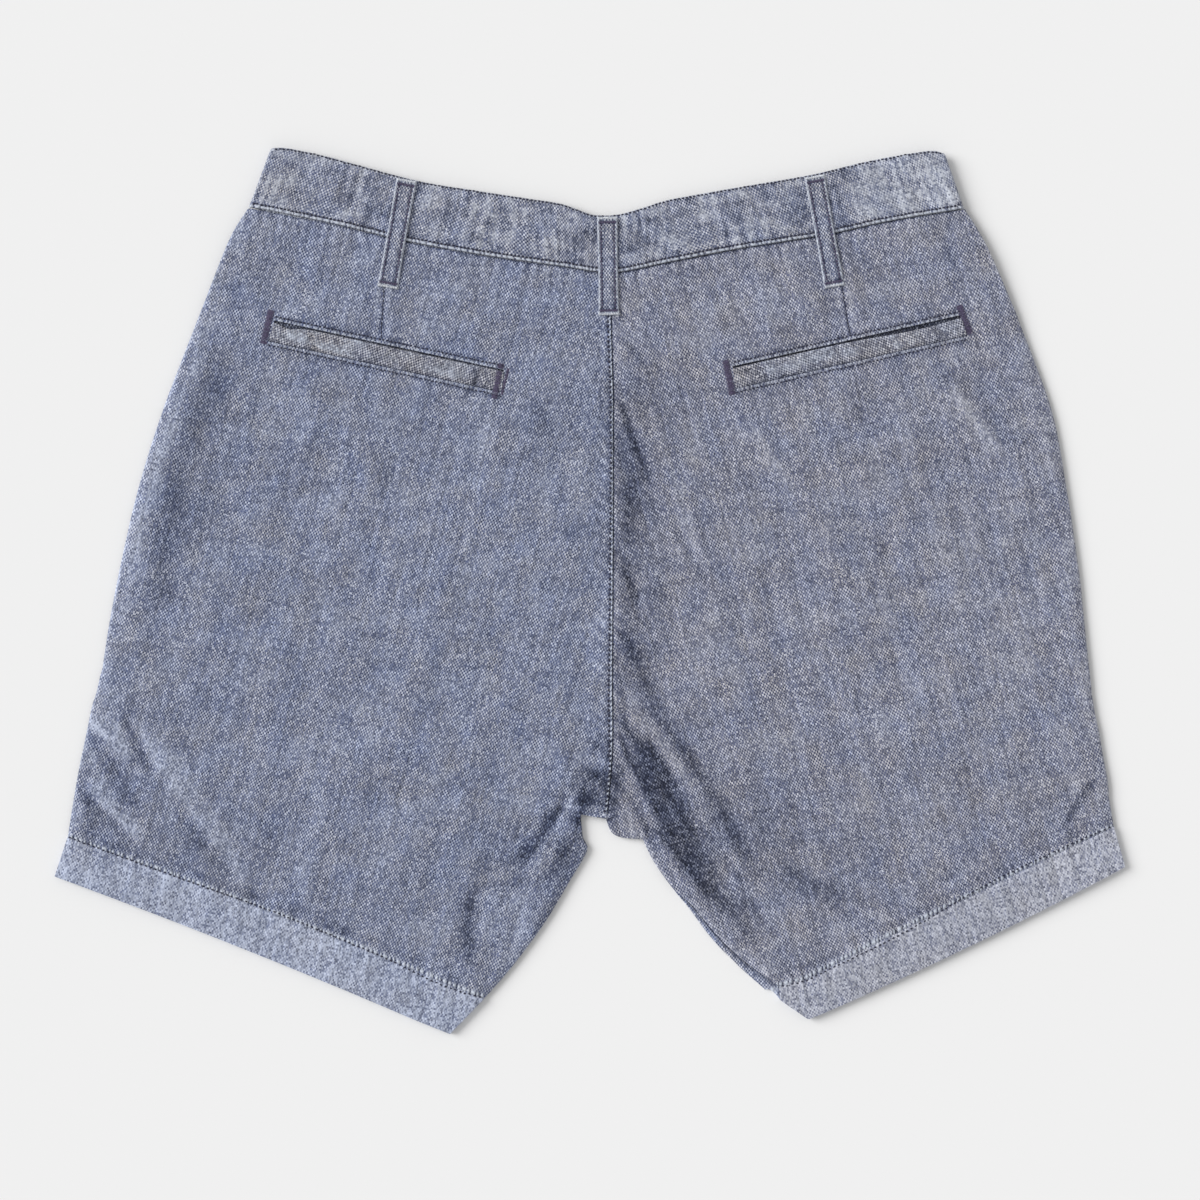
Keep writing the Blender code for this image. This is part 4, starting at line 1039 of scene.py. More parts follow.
def seam_looks(right, rows, slit, lines, shares, x, y, from_inner, from_middle):
    """For the roping: where each point is along its seam, how pale its beads are, how strong its puckers.
    Also the painted shade beside the pocket's mouth and welt.
    """
    along_hem, past_stitch = beyond_hem_stitch(rows, lines, x, y)
    below_waist = back_seam_y(x) - y
    along_pocket, above_mouth, below_welt, beside = beside_pocket(rows, slit, shares, x, y)
    near_mouth, near_welt = [np.where(away > -0.1, away, NO_SEAM) for away in (above_mouth, below_welt)]
    pale = beside * (0.6 * bump_at(near_mouth, 0.6, 0.6) + 0.4 * bump_at(near_welt, 0.9, 0.6))
    pale += bump_at(past_stitch, -0.8, 0.8) + (0.0 if right else bump_at(from_middle, 0.45, 0.6))
    pucker = 0.25 * bump_at(below_waist, 0.0, 9.0) + 0.25 * bump_at(from_middle, 0.0, 12.0)
    pucker += 0.8 * bump_at(past_stitch, 0.0, np.where(past_stitch > 0, 10.0, 5.0))
    pucker += beside * (0.6 * bump_at(near_mouth, 2.0, 3.0) + bump_at(near_welt, 2.0, 3.5))
    along = np.select(
        [np.abs(past_stitch) < 16.0, from_middle < 16.0, below_waist < 16.0],
        [along_hem + 0.35 * past_stitch, y + SEAM_SLANT * from_inner, x], along_pocket,
    )
    shade = bump_at(near_mouth, 2.6, 1.6) + bump_at(near_welt, 2.8, 1.6) + bump_at(near_welt, 0.0, 0.4)
    return stack(along, np.clip(pale, 0, 1), np.clip(pucker, 0, 1)), 0.4 * beside * shade


def back_panel(name, rows, slit, lean, mat):
    right = rows[0].side_x > 0
    lines = fine_rows(rows, ROW_SPACING, HEM_ROW_SPACING)
    width = np.linalg.norm(lines.side - lines.inner, axis=1)
    shares = fine_shares(width.mean(), ROW_SPACING, slit)
    at = follow_waist(along_rows(lines, shares), lines.waist)
    crotch_y = row_named(rows, "crotch").inner_y
    at_crotch = (lines.inner[:, 1] < crotch_y + 1)[:, None]
    from_side = (1 - shares)[None, :] * width[:, None]
    from_inner = shares[None, :] * width[:, None]
    from_edge = np.where(at_crotch, np.minimum(from_side, from_inner), from_side)
    at[:, 0, 0] += np.where(at_crotch[:, 0], 0, CLOSE_GAP / 2 if right else -CLOSE_GAP / 2)
    at[0, :, 1] -= WAIST_GAP
    x, y = at[:, :, 0], at[:, :, 1]
    from_middle = np.where(y > crotch_y + 4, from_inner, NO_SEAM)
    along_hem, past_stitch = beyond_hem_stitch(rows, lines, x, y)
    below_waist = back_seam_y(x) - y

    # the wall: the solid's under side, raised by what is finer than the solid
    hem = smooth(lines.down / HEM_TURN)[:, None] * np.ones_like(x)
    bottom = back_bottom(x, y, hem, from_edge)
    relief = small_relief(x, y, np.abs(past_stitch), along_hem)
    if right:
        relief += groove(from_middle, 0.5, 0.8)
    else:
        relief += FELL_RISE * smooth((FELL_WIDTH - from_middle) / 1.5) + 0.25 * bump_at(from_middle, 0.6, 0.9)
    top = bottom + PANEL_WALL + HEM_EXTRA * hem + relief * smooth(from_edge / 4.0 + 0.15)
    top = np.maximum(top, bottom + SHELL)
    wall = lerp(SHELL, PANEL_WALL + HEM_EXTRA, hem)

    # the pocket slit
    open_cells = np.zeros(x.shape, bool)
    mouth_rows = [i for i, label in enumerate(lines.names) if label == "pocket mouth"]
    in_slit = (shares > slit[0] - 1e-6) & (shares < slit[1] - 1e-6)
    open_cells[np.ix_(mouth_rows, np.where(in_slit)[0])] = True

    # painted light and shade: ridges get a painted highlight and hollows painted shade, as do the creases and
    # flanks in the table; the waist seam's ditch, the pocket's edges, the middle seam and the cloth above the
    # hem's stitching get painted shade; the side edges are rubbed pale, and the hem is paler
    seam, pocket_shade = seam_looks(right, rows, slit, lines, shares, x, y, from_inner, from_middle)
    wear_and_shade = crease_highlight_and_shade(top, 9, 1.6) + rise_of(PAINTED_LIGHT_AND_SHADE, x, y) + HEM_TONE * hem
    wear_and_shade += 0.3 * bump_at(from_side, 0.0, 1.5) - 0.9 * bump_at(below_waist, 0.5, 0.9) - pocket_shade
    wear_and_shade -= 0.3 * bump_at(past_stitch, -4.5, 3.0) * (0.7 + 0.6 * uneven(x, y, 34.0, 17))
    wear_and_shade -= 0.7 * bump_at(from_middle, 0.3, 0.8) if right else 0.25 * bump_at(from_middle, 2.4, 1.2)
    wear_and_shade += 0.07 * uneven(x, y, 46.0, 14) + 0.05 * uneven(x, y, 15.0, 15)
    piece = cloth_sheet(
        name, stack(x, y, top), stack(x, y, np.maximum(top - wall, bottom)), grain_of(x, y, lean),
        np.clip(wear_and_shade, -1, 1), mat, PANEL_CLOTH.slot, seam, open_cells,
    )
    print(name, x.shape, "rows and columns,", len(piece.data.polygons), "faces")
    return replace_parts(piece, name.removesuffix("_cloth"))


back_left = back_panel("back_left_cloth", LEFT_ROWS, LEFT_SLIT, lean=-14.0, mat=PANEL_MATERIAL)
back_right = back_panel("back_right_cloth", RIGHT_ROWS, RIGHT_SLIT, lean=14.0, mat=RIGHT_MATERIAL)

# %% [markdown]
# ## Front panels
#
# The front panels lie flat on the table, so only their edges show from above, with one narrow strip of the
# right one that has rolled out past the inseam. Their under side is what is seen when the shorts are turned
# over, so it gets its seams and its fly too. They are drawn by the same rows as the back panels, on a
# coarser mesh, because a flat sheet needs no more.

# %% The front panels
FRONT_SPACING = 5.0
LAP_COLUMNS = (0.0, 0.12, 0.24, 0.36, 0.48, 0.6, 0.74, 0.88)    # shares of the rolled strip
LAP_MORE = 0.6          # keeps the strip's columns apart where it has no width
LAP_RISE = 0.36         # how high it stands, for each millimetre that it is wide
LAP_FULL = 5.0          # a wider strip stands no higher
FRONT_SUNK = 0.15       # how far the front's upper side lies under its solid's


def front_panel(name, rows, lapped, lean):
    lines = fine_rows(rows, FRONT_SPACING, HEM_ROW_SPACING * 2)
    width = np.linalg.norm(lines.side - lines.inner, axis=1)
    shares = fine_shares(width.mean(), FRONT_SPACING, ())
    if lapped:
        shares = np.concatenate([[0.0], shares[shares > 0.0045]])
    at = along_rows(lines, shares)
    outward = lines.inner - lines.knee
    outward /= np.linalg.norm(outward, axis=1)[:, None]
    lap = lines.lap[:, None]
    lap_start = lines.inner + outward * lap
    ridge = np.zeros(at.shape[:2])
    at[:, 0] = lap_start
    if lapped:
        strip = [
            lap_start - outward * (share * lap + LAP_MORE * share / LAP_COLUMNS[-1]) for share in LAP_COLUMNS
        ]
        at = np.concatenate([np.stack(strip, axis=1), at[:, 1:]], axis=1)
        roll = np.sin(np.pi * np.array(LAP_COLUMNS) / LAP_COLUMNS[-1]) ** 0.8 * LAP_RISE
        ridge = np.concatenate([np.minimum(lap, LAP_FULL) * roll[None, :], ridge[:, 1:]], axis=1)
    crotch_y = row_named(rows, "crotch").inner_y
    apart = CLOSE_GAP / 2 if rows[0].side_x > 0 else -CLOSE_GAP / 2
    at[:, 0, 0] += np.where(lines.inner[:, 1] > crotch_y + 1, apart, 0)
    seam_drop = float(back_seam_y(OPENING_X)) - FRONT_SEAM_Y
    share_out = np.minimum(np.linalg.norm(at - lines.inner[:, None, :], axis=2) / width[:, None], 1.0)
    at[:, :, 1] -= lines.waist[:, None] * seam_drop * (1 - share_out)
    at[0, :, 1] = front_seam_y(at[0, :, 0]) - WAIST_GAP
    x, y = at[:, :, 0], at[:, :, 1]
    hem = smooth(lines.down / HEM_TURN)[:, None] * np.ones_like(x)
    over = stack(x, y, front_top(x, y, hem) + ridge - FRONT_SUNK)
    lifted = FRONT_BAND_LIFT * waist_lift(x, y)
    under_relief = 0.06 + 0.12 * (1 + np.sin(x * 2 * math.pi / 46 + 2 * uneven(x, y, 90.0, 31)))
    under = stack(x, y, lifted + under_relief * (1 - hem))
    along_hem, past_stitch = beyond_hem_stitch(rows, lines, x, y)
    pucker = bump_at(past_stitch, 0.0, np.where(past_stitch > 0, 14.0, 5.0))
    seam = stack(along_hem + 0.35 * past_stitch, bump_at(past_stitch, 0.5, 0.8), pucker)
    wear_and_shade = HEM_TONE * hem + 0.12 * uneven(x, y, 60.0, 33)
    piece = cloth_sheet(
        name, over, under, grain_of(x, y, lean), wear_and_shade, PANEL_MATERIAL, PANEL_CLOTH.slot, seam
    )
    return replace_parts(piece, name.removesuffix("_cloth"))


front_left = front_panel("front_left_cloth", LEFT_ROWS, lapped=False, lean=-3.0)
front_right = front_panel("front_right_cloth", RIGHT_ROWS, lapped=True, lean=3.0)
print("front panels:", len(front_left.data.polygons), len(front_right.data.polygons), "faces")

# %% [markdown]
# ## Waistband
#
# The waistband is a stiff strip in two layers, folded at its top edge. Each half runs along the back, turns
# round the side and comes back along the front. Its long edges are round, and washing has left soft ripples
# across it, a finger's width apart. A flat section could be swept along a curve, but it would twist where
# the strip turns. So a grid is laid along the strip, and at the side each line across it is turned by an
# angle, until it has gone half round.

# %% The waistband
# Painted shadow beside each belt loop, and a darker and a paler stretch of the band
BAND_SHADOWS_AND_TONES = fold_table(
    ("shade left of the centre loop", (0, 232), (2, 200), 0, -0.4, 7, 9),
    ("shade right of the centre loop", (23, 232), (22, 200), 0, -0.3, 6, 8),
    ("shade left of the left loop", (-121, 262), (-128, 216), 0, -0.3, 8, 8),
    ("shade right of the left loop", (-103, 260), (-108, 214), 0, -0.2, 7, 7),
    ("shade left of the right loop", (129, 262), (138, 214), 0, -0.3, 8, 8),
    ("shade right of the right loop", (148, 264), (158, 216), 0, -0.35, 6, 8),
    ("dark stretch of the left half", (-190, 250), (-125, 235), 0, -0.2, 24, 24),
    ("pale right end", (150, 245), (240, 255), 0, 0.4, 24, 24),
)
BAND_RIPPLE = 6.4
BAND_STEPS = 9          # for each span between two stations
BAND_TURN_STEPS = 12
BAND_FRONT_STEPS = 60
BAND_EDGE = 1.8         # how far in the round edge reaches
BAND_STITCH = 1.9       # from each long edge
LOWER_ACROSS = [0, 0.012, 0.03, 0.055, 0.09, 0.15, 0.24, 0.36, 0.5]
UPPER_ACROSS = [0.64, 0.76, 0.85, 0.91, 0.945, 0.97, 0.988, 1]
ACROSS = np.array(LOWER_ACROSS + UPPER_ACROSS)      # shares of the band's height, from the waist seam up


def waistband(name, stations, lean):
    middle_z = FRONT_BAND_LIFT + BAND_WALL + SEAM_GAP / 2
    side_sign = 1 if stations[-1].top_x > 0 else -1
    tops = curve_through([(s.top_x, s.top_y) for s in stations], BAND_STEPS)
    seams = curve_through([(s.seam_x, s.seam_y) for s in stations], BAND_STEPS)
    for line in (tops, seams):
        line[0, 0] += side_sign * CLOSE_GAP / 2
    turns = np.linspace(0, math.pi, BAND_TURN_STEPS + 1)[:, None]
    opening = OPENING_X + side_sign * SEAM_GAP / 2
    shares = np.linspace(0, 1, BAND_FRONT_STEPS + 1)[1:, None]
    front_tops = lerp(tops[-1], np.array((opening, FRONT_BAND_TOP_Y)), shares)
    front_seams = lerp(seams[-1], np.array((opening, FRONT_SEAM_Y)), shares)
    top = np.concatenate([tops, tops[-1] + 0 * turns, front_tops])
    seam = np.concatenate([seams, seams[-1] + 0 * turns, front_seams])
    angle = np.concatenate([np.zeros(len(tops)), turns[:, 0], np.full(len(shares), math.pi)])[:, None]
    outward = (tops[-1] - tops[-2]) / np.linalg.norm(tops[-1] - tops[-2])
    at = lerp(seam[:, None, :], top[:, None, :], ACROSS[None, :, None])
    steps = np.linalg.norm(np.diff(top, axis=0), axis=1)
    bend_length = (BAND_WALL + SEAM_GAP / 2) * np.abs(np.diff(angle[:, 0]))
    run = np.concatenate([[0], np.cumsum(steps + bend_length)])[:, None] * np.ones(len(ACROSS))
    tall = np.linalg.norm(top - seam, axis=1)[:, None]
    from_long_edge = np.minimum(ACROSS, 1 - ACROSS)[None, :] * tall
    in_from_edge = quarter_round(from_long_edge / BAND_EDGE)
    along, height = run * side_sign, at[:, :, 1]
    ripple = np.sin(run * 2 * math.pi / BAND_RIPPLE + 1.8 * uneven(along, height, 45.0, 11))
    ripple = 0.13 * ripple * (0.6 + 0.5 * uneven(along, height, 60.0, 12))
    ripple += 0.12 * uneven(along, 2 * height, 26.0, 13)
    ripple *= smooth(from_long_edge / 2.5 + 0.2)
    stitched = groove(from_long_edge - BAND_STITCH, 0.16, 0.6)
    radius = SEAM_GAP / 2 + BAND_WALL * (0.4 + 0.6 * in_from_edge)
    radius = radius + np.where(angle < 3.0, ripple + stitched, 0.4 * ripple - 0.1)
    inner_radius = SEAM_GAP / 2 + BAND_WALL * 0.28 * (1 - in_from_edge)
    to_side = np.minimum(np.abs(at[:, :, 0] - OPENING_X) / abs(stations[-1].top_x - OPENING_X), 1.0)
    droop = BAND_DROOP * np.maximum(0.0, 2 * ACROSS[None, :] - 1)
    droop = droop * (1 - smooth(to_side / DROOP_END)) * (angle == 0)

    def wrap(r):
        xy = at + outward * (np.sin(angle) * r)[:, :, None]
        return np.concatenate([xy, (middle_z + np.cos(angle) * r - droop)[:, :, None]], axis=2)

    from_seam = ACROSS[None, :] * tall
    # painted light and shade: highlights on the ripples' crests, shade in their troughs and along the lower
    # stitched row, and painted shadow beside the loops; paler towards the sides
    wear_and_shade = crease_highlight_and_shade(radius, 4, 2.2) + 0.2 * smooth(to_side * 3 - 2)
    wear_and_shade += rise_of(BAND_SHADOWS_AND_TONES, at[:, :, 0], height)
    wear_and_shade += 0.08 * uneven(along, height, 30.0, 16) - 0.4 * bump_at(from_seam, 2.6, 1.0) + 1.3 * ripple
    seam_values = stack(
        along + 0.2 * from_seam, bump_at(from_seam, 0.8, 0.8), 0.35 * bump_at(from_long_edge, 0.0, 9.0)
    )
    piece = cloth_sheet(
        name, wrap(radius), wrap(inner_radius), grain_of(along, height - back_seam_y(at[:, :, 0]), lean),
        np.clip(wear_and_shade, -1, 1), BAND_MATERIAL, BAND_CLOTH.slot, seam_values,
    )
    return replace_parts(piece, name.removesuffix("_cloth"))


band_left = waistband("waistband_left_cloth", BAND_LEFT, lean=-8.0)
band_right = waistband("waistband_right_cloth", BAND_RIGHT, lean=10.0)
print("waistband:", len(band_left.data.polygons), len(band_right.data.polygons), "faces")

# %% [markdown]
# ## Belt loops
#
# A loop is a strip folded in three and stitched down both sides, so it is thick in the middle with round
# edges that the wash has rubbed pale. It bows away from the waistband between its two bartacks. A bent box
# would have the size but not the look, which lies in the section across the strip. So each place on a grid
# gets its own thickness: less at the edges, and in the grooves of the stitching.

# %% The belt loops
Loop = namedtuple("Loop", "name top_x top_y end_x end_y")
BACK_LOOPS = (
    Loop("belt_loop_centre", 11.0, 231.0, 12.0, 170.0),
    Loop("belt_loop_back_left", -112.9, 254.0, -124.8, 187.0),
    Loop("belt_loop_back_right", 139.0, 256.2, 151.5, 187.5),
)
FRONT_LOOPS = (("belt_loop_front_left", -100.0), ("belt_loop_front_right", 122.0))
LOOP_HALF = np.array([0, 0.02, 0.06, 0.11, 0.155, 0.18, 0.21, 0.27, 0.38])
LOOP_ACROSS = np.concatenate([LOOP_HALF, [0.5], 1 - LOOP_HALF[::-1]])
LOOP_DOWN = np.concatenate([np.linspace(0, 0.08, 7), np.linspace(0.1, 0.9, 33), np.linspace(0.92, 1, 7)])
LOOP_STITCH = 2.3       # from each edge
LOOP_SHELL = 1.25       # the loop's cloth, pressed flat
LOOP_BOW = 0.2
LOOP_TACK = 3.6         # from the loop's end to the middle of its bartack


def loop_section(length):
    """How thick a loop is at each place, how rubbed, and how shaded."""
    from_side = np.minimum(LOOP_ACROSS, 1 - LOOP_ACROSS)[None, :] * LOOP_WIDTH
    from_end = np.minimum(LOOP_DOWN, 1 - LOOP_DOWN)[:, None] * length
    thick = 0.45 + 0.55 * quarter_round(from_side / 1.2)
    thick = thick * (0.55 + 0.45 * quarter_round(from_end / 1.5))
    thick = thick + groove(from_side - LOOP_STITCH, 0.2, 0.45) + groove(from_end - LOOP_TACK, 0.16, 0.8)
    # rubbed pale at the edges and ends; painted shade in the grooves of the stitching and of the bartacks
    wear_and_shade = 0.85 * bump_at(from_side, 0.5, 0.7) - 0.75 * bump_at(from_side, 2.4, 0.9)
    wear_and_shade = wear_and_shade + bump_at(from_end, 0.8, 1.0) - 0.6 * bump_at(from_end, LOOP_TACK, 1.3)
    pale = np.maximum(0.85 * bump_at(from_side, 0.5, 0.6), bump_at(from_end, 0.7, 0.9))
    seam = stack(LOOP_DOWN[:, None] * length + 2.3 * from_side, pale, 0.3)
    return LOOP_SHELL * thick, np.clip(wear_and_shade, -1, 1), seam


def loop_line(loop):
    """A loop's top and end, the directions along it and across it, and its length."""
    top, end = np.array((loop.top_x, loop.top_y)), np.array((loop.end_x, loop.end_y))
    length = np.linalg.norm(end - top)
    along = (end - top) / length
    return top, end, along, np.array((-along[1], along[0])), length


def loop_piece(name, over, under, grain, wear_and_shade, seam):
    piece = cloth_sheet(name + "_cloth", over, under, grain, wear_and_shade, BAND_MATERIAL, BAND_CLOTH.slot, seam)
    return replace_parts(piece, name)


def back_loop(loop):
    top, end, along, across, length = loop_line(loop)
    t = LOOP_DOWN[:, None]
    flare = 1 + 0.07 * bump_at((1 - t) * length, 0.0, 2.2) - 0.05 * np.sin(np.pi * t) ** 2
    out = (LOOP_ACROSS[None, :] - 0.5) * LOOP_WIDTH * flare
    at = lerp(top, end, t[:, :, None]) + across * out[:, :, None]
    seam_at = (top[1] - back_seam_y(loop.end_x) + 2.0) / abs(along[1])
    panel_z = float(back_bottom(end[0], end[1], 0.0, 1e3)) + PANEL_WALL
    past = smooth((t * length - seam_at) / (length - seam_at))
    surface = lerp(band_top_z(), panel_z, past) + CLOSE_GAP + LOOP_BOW * np.sin(np.pi * t)
    thick, wear_and_shade, seam = loop_section(length)
    x, y = at[:, :, 0], at[:, :, 1]
    over = stack(x, y, surface + thick + 0.07 * uneven(x, y, 9.0, 21))
    grain = grain_of(x - top[0], y - top[1], math.degrees(math.atan2(along[0], -along[1])))
    return loop_piece(loop.name, over, stack(x, y, surface), grain, wear_and_shade, seam)


def front_loop(name, x_middle):
    share = abs(x_middle - OPENING_X) / abs(BAND_LEFT[-1].top_x - OPENING_X)
    top_y = lerp(FRONT_BAND_TOP_Y, BAND_LEFT[-1].top_y, share)
    end_y = float(front_seam_y(x_middle)) - LOOP_BELOW_SEAM
    thick, wear_and_shade, seam = loop_section(top_y - end_y)
    upper = FRONT_BAND_LIFT - SEAM_GAP
    x = x_middle + (LOOP_ACROSS[None, :] - 0.5) * LOOP_WIDTH + 0 * thick
    y = lerp(top_y, end_y, LOOP_DOWN)[:, None] + 0 * thick
    return loop_piece(name, stack(x, y, upper), stack(x, y, upper - thick), grain_of(x, y, 0), wear_and_shade, seam)


loops = [back_loop(loop) for loop in BACK_LOOPS] + [front_loop(*loop) for loop in FRONT_LOOPS]
print("belt loops:", [piece.name for piece in loops])

# %% [markdown]
# ## Back pockets
#
# Each back pocket is a slit in the panel with one welt, a folded strip cut on the bias. The welt fills the
# slit from below, and its fold makes the pocket's mouth. The mouth gapes a little near one end. Behind it
# lies the facing, so that a glance into the gap meets cloth and not the inside of the leg. The welt could
# be drawn on the panel, but the eye finds its edge and its shadow, so the panel is really open here.

# %% Welts and facings
Gape = namedtuple("Gape", "middle reach depth")
WELT_ROWS = np.concatenate([np.linspace(0, 0.3, 8), np.linspace(0.38, 0.8, 6), np.linspace(0.86, 1, 4)])
WELT_COLUMNS = np.linspace(0, 1, 80)
FACING_WALL = 1.0
FACING_MARGIN = 6.0
WELT_WALL = 1.6
# Painted light and shade on the welts: pale ridges and a pale patch, dark wrinkles, a dark notch and a shaded
# end
LEFT_WELT_SHADING = fold_table(
    ("pale ridge low in the left end", (-192, 160), (-140, 143), 0, 0.6, 3, 2.6),
    ("dark wrinkle under the gape", (-190, 163), (-172, 160), 3, -0.7, 1.6, 1.4),
    ("pale patch near the right end", (-112, 140), (-72, 130), 0, 0.45, 4, 4),
    ("notch near the right end", (-70, 140), (-71.5, 124), 0, -0.9, 1.3, 1.3),
    ("shade at the right end", (-68, 138), (-57, 126), 0, -0.25, 5, 5),
)
RIGHT_WELT_SHADING = fold_table(
    ("pale ridge along the middle", (100, 134), (180, 152), 0, 0.4, 3, 3),
    ("shade under the gape", (182, 158), (228, 168), 0, -0.5, 2.6, 2.2),
    ("dark wrinkle at the left end", (88, 138), (112, 132), 0, -0.5, 2, 1.6),
)


def pocket(side, rows, slit, gape, welt_shading, lean):
    """The welt and the facing of one pocket."""
    mouth, seam = row_named(rows, "pocket mouth"), row_named(rows, "welt seam")
    corners = [inner_of(mouth), side_of(mouth), inner_of(seam), side_of(seam)]
    length = np.linalg.norm(corners[1] - corners[0])
    depth = np.linalg.norm(corners[2] - corners[0])

    def grid(ends, down, columns):
        share = lerp(*ends, columns)[None, :, None]
        upper, lower = lerp(corners[0], corners[1], share), lerp(corners[2], corners[3], share)
        at = lerp(upper, lower, down[:, :, None])
        return at[:, :, 0], at[:, :, 1]

    gap = CLOSE_GAP / length
    opened = gape.depth * bump_at(WELT_COLUMNS, gape.middle, gape.reach)
    from_mouth = lerp((SLIT * 0.95 + opened) / depth, 1 - CLOSE_GAP / depth, WELT_ROWS[:, None])
    x, y = grid((slit[0] + gap, slit[1] - gap), from_mouth, WELT_COLUMNS)
    bottom = back_bottom(x, y, 0.0, 1e3)
    from_fold = WELT_ROWS[:, None] * depth
    from_seam = (1 - WELT_ROWS)[:, None] * depth
    fold = quarter_round(from_fold / 2.2)
    thick = WELT_WALL * (0.3 + 0.62 * fold) - 0.45 * bump_at(from_seam, 0.0, 1.3)
    wrinkle = 0.2 * uneven(x + y, y, 17.0, 41) + 0.1 * uneven(x, y, 7.0, 42)
    over = stack(x, y, bottom + np.maximum(thick + wrinkle * smooth(from_fold / 3), 0.35))
    under = stack(x, y, bottom + 0.1 * (1 - fold))
    # rubbed pale along the fold, with painted light and shade from the tables, and painted shade in the ditch
    # of the welt seam
    wear_and_shade = 0.16 * uneven(x, y, 34.0, 43) + 0.12 * uneven(x, y, 11.0, 44) + 0.25 * bump_at(from_fold, 1.0, 0.9)
    wear_and_shade += rise_of(welt_shading, x, y) - 0.9 * np.exp(-from_seam / 1.1)
    name = "welt_" + side
    welt = cloth_sheet(
        name + "_cloth", over, under, grain_of(x, y, lean), np.clip(wear_and_shade, -1, 1), WELT_MATERIAL,
        WELT_CLOTH.slot, stack(x + 0.5 * y, 0, 0.5),
    )
    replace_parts(welt, name)

    margin = FACING_MARGIN / length
    columns = np.linspace(0, 1, 24)
    down = lerp(-8.0 / depth, 1 + 5.0 / depth, np.linspace(0, 1, 8))[:, None] + 0 * columns
    x, y = grid((slit[0] - margin, slit[1] + margin), down, columns)
    z = front_top(x, y, 0.0) + SEAM_GAP
    name = "pocket_facing_" + side
    # the facing is painted nearly black all over: the shade inside the pocket
    facing = cloth_sheet(
        name + "_cloth", stack(x, y, z + FACING_WALL), stack(x, y, z), grain_of(x, y, 0),
        np.full(x.shape, -0.95), WELT_MATERIAL, WELT_CLOTH.slot,
    )
    return welt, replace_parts(facing, name)


LEFT_GAPE = Gape(middle=0.93, reach=0.045, depth=2.2)
RIGHT_GAPE = Gape(middle=0.8, reach=0.2, depth=1.9)
left_pocket = pocket("left", LEFT_ROWS, LEFT_SLIT, LEFT_GAPE, LEFT_WELT_SHADING, lean=-30.0)
right_pocket = pocket("right", RIGHT_ROWS, RIGHT_SLIT, RIGHT_GAPE, RIGHT_WELT_SHADING, lean=30.0)
print("pockets:", [piece.name for piece in left_pocket + right_pocket])

# %% [markdown]
# ## Button
#
# The waist button lies under the front waistband. It is turned from one disc: a raised rim, a dished middle
# and four holes. A bmesh spin of its profile makes the disc. The holes could be cut out with a boolean, but
# the button is seen only from below, so four small discs in the dish stand for them.

# %% The button
BUTTON_PROFILE = (      # distance from the axis and height
    (0.0, 0.55), (4.2, 0.55), (5.4, 0.15), (7.2, 0.0), (8.1, 0.35), (8.5, 1.1), (8.1, 1.9), (6.5, 2.2),
    (0.0, 2.2),
)
HOLE_OUT = 2.2
HOLE_Z = 0.62


def button_material():
    mat, tree, shader = new_material("dark button")
    where = new_node(tree, "ShaderNodeTexCoord").outputs["Object"]
    inputs = {"Vector": where, "Scale": 260.0, "Detail": 4.0, "Distortion": 1.5}
    swirl = new_node(tree, "ShaderNodeTexNoise", inputs).outputs["Fac"]
    colour = blend(tree, swirl, (0.02, 0.022, 0.03, 1), (0.075, 0.08, 0.1, 1))
    tree.links.new(colour, shader.inputs["Base Color"])
    tree.links.new(spread(tree, swirl, 0.3, 0.7, 0.28, 0.42), shader.inputs["Roughness"])
    return mat


def waist_button():
    low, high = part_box("waist_button")
    centre = (low + high) / 2 / MM
    bm = bmesh.new()
    chain = [bm.verts.new((radius, 0, z)) for radius, z in BUTTON_PROFILE]
    edges = [bm.edges.new(pair) for pair in zip(chain, chain[1:])]
    bmesh.ops.spin(
        bm, geom=chain + edges, cent=(0, 0, 0), axis=(0, 0, 1), angle=2 * math.pi, steps=40, use_merge=True
    )
    bmesh.ops.remove_doubles(bm, verts=bm.verts[:], dist=0.001)
    bmesh.ops.recalc_face_normals(bm, faces=bm.faces[:])
    for k in range(4):
        angle = math.radians(45 + 90 * k)
        place = Matrix.Translation((HOLE_OUT * math.cos(angle), HOLE_OUT * math.sin(angle), HOLE_Z))
        bmesh.ops.create_cone(
            bm, cap_ends=True, segments=14, radius1=1.0, radius2=0.8, depth=0.24, matrix=place
        )
    bmesh.ops.translate(bm, verts=bm.verts[:], vec=(centre.x, centre.y, low.z / MM))
    piece = finish_piece("waist_button_turned", bm, button_material(), "button", 35)
    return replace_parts(piece, "waist_button")


button = waist_button()
print("button faces:", len(button.data.polygons))

# %% [markdown]
# ## Sewing
#
# A stitch is a short grain of thread, sunk halfway into the cloth. Stitches in a texture would look
# printed, so here each one is a body. A run of stitches follows a line drawn on the flat pattern, and each
# stitch is dropped onto the finished cloth from above, or lifted to it from below, so it lies in the
# creases too. All the stitches of one kind are one joined mesh of small round bodies, with few faces each.

# %% Thread
def thread_material(name, dark, light):
    mat, tree, shader = new_material(name)
    where = new_node(tree, "ShaderNodeTexCoord").outputs["Object"]
    inputs = {"Vector": where, "Scale": 900.0, "Detail": 3.0}
    fibres = new_node(tree, "ShaderNodeTexNoise", inputs).outputs["Fac"]
    colour = blend(tree, spread(tree, fibres, 0.3, 0.7), (*dark, 1), (*light, 1))
    tree.links.new(colour, shader.inputs["Base Color"])
    tree.links.new(spread(tree, fibres, 0.3, 0.7, 0.55, 0.8), shader.inputs["Roughness"])
    bump = new_node(tree, "ShaderNodeBump", {"Height": fibres, "Strength": 0.4, "Distance": 0.0002})
    tree.links.new(bump.outputs["Normal"], shader.inputs["Normal"])
    shader.inputs["Sheen Weight"].default_value = 0.06
    return mat


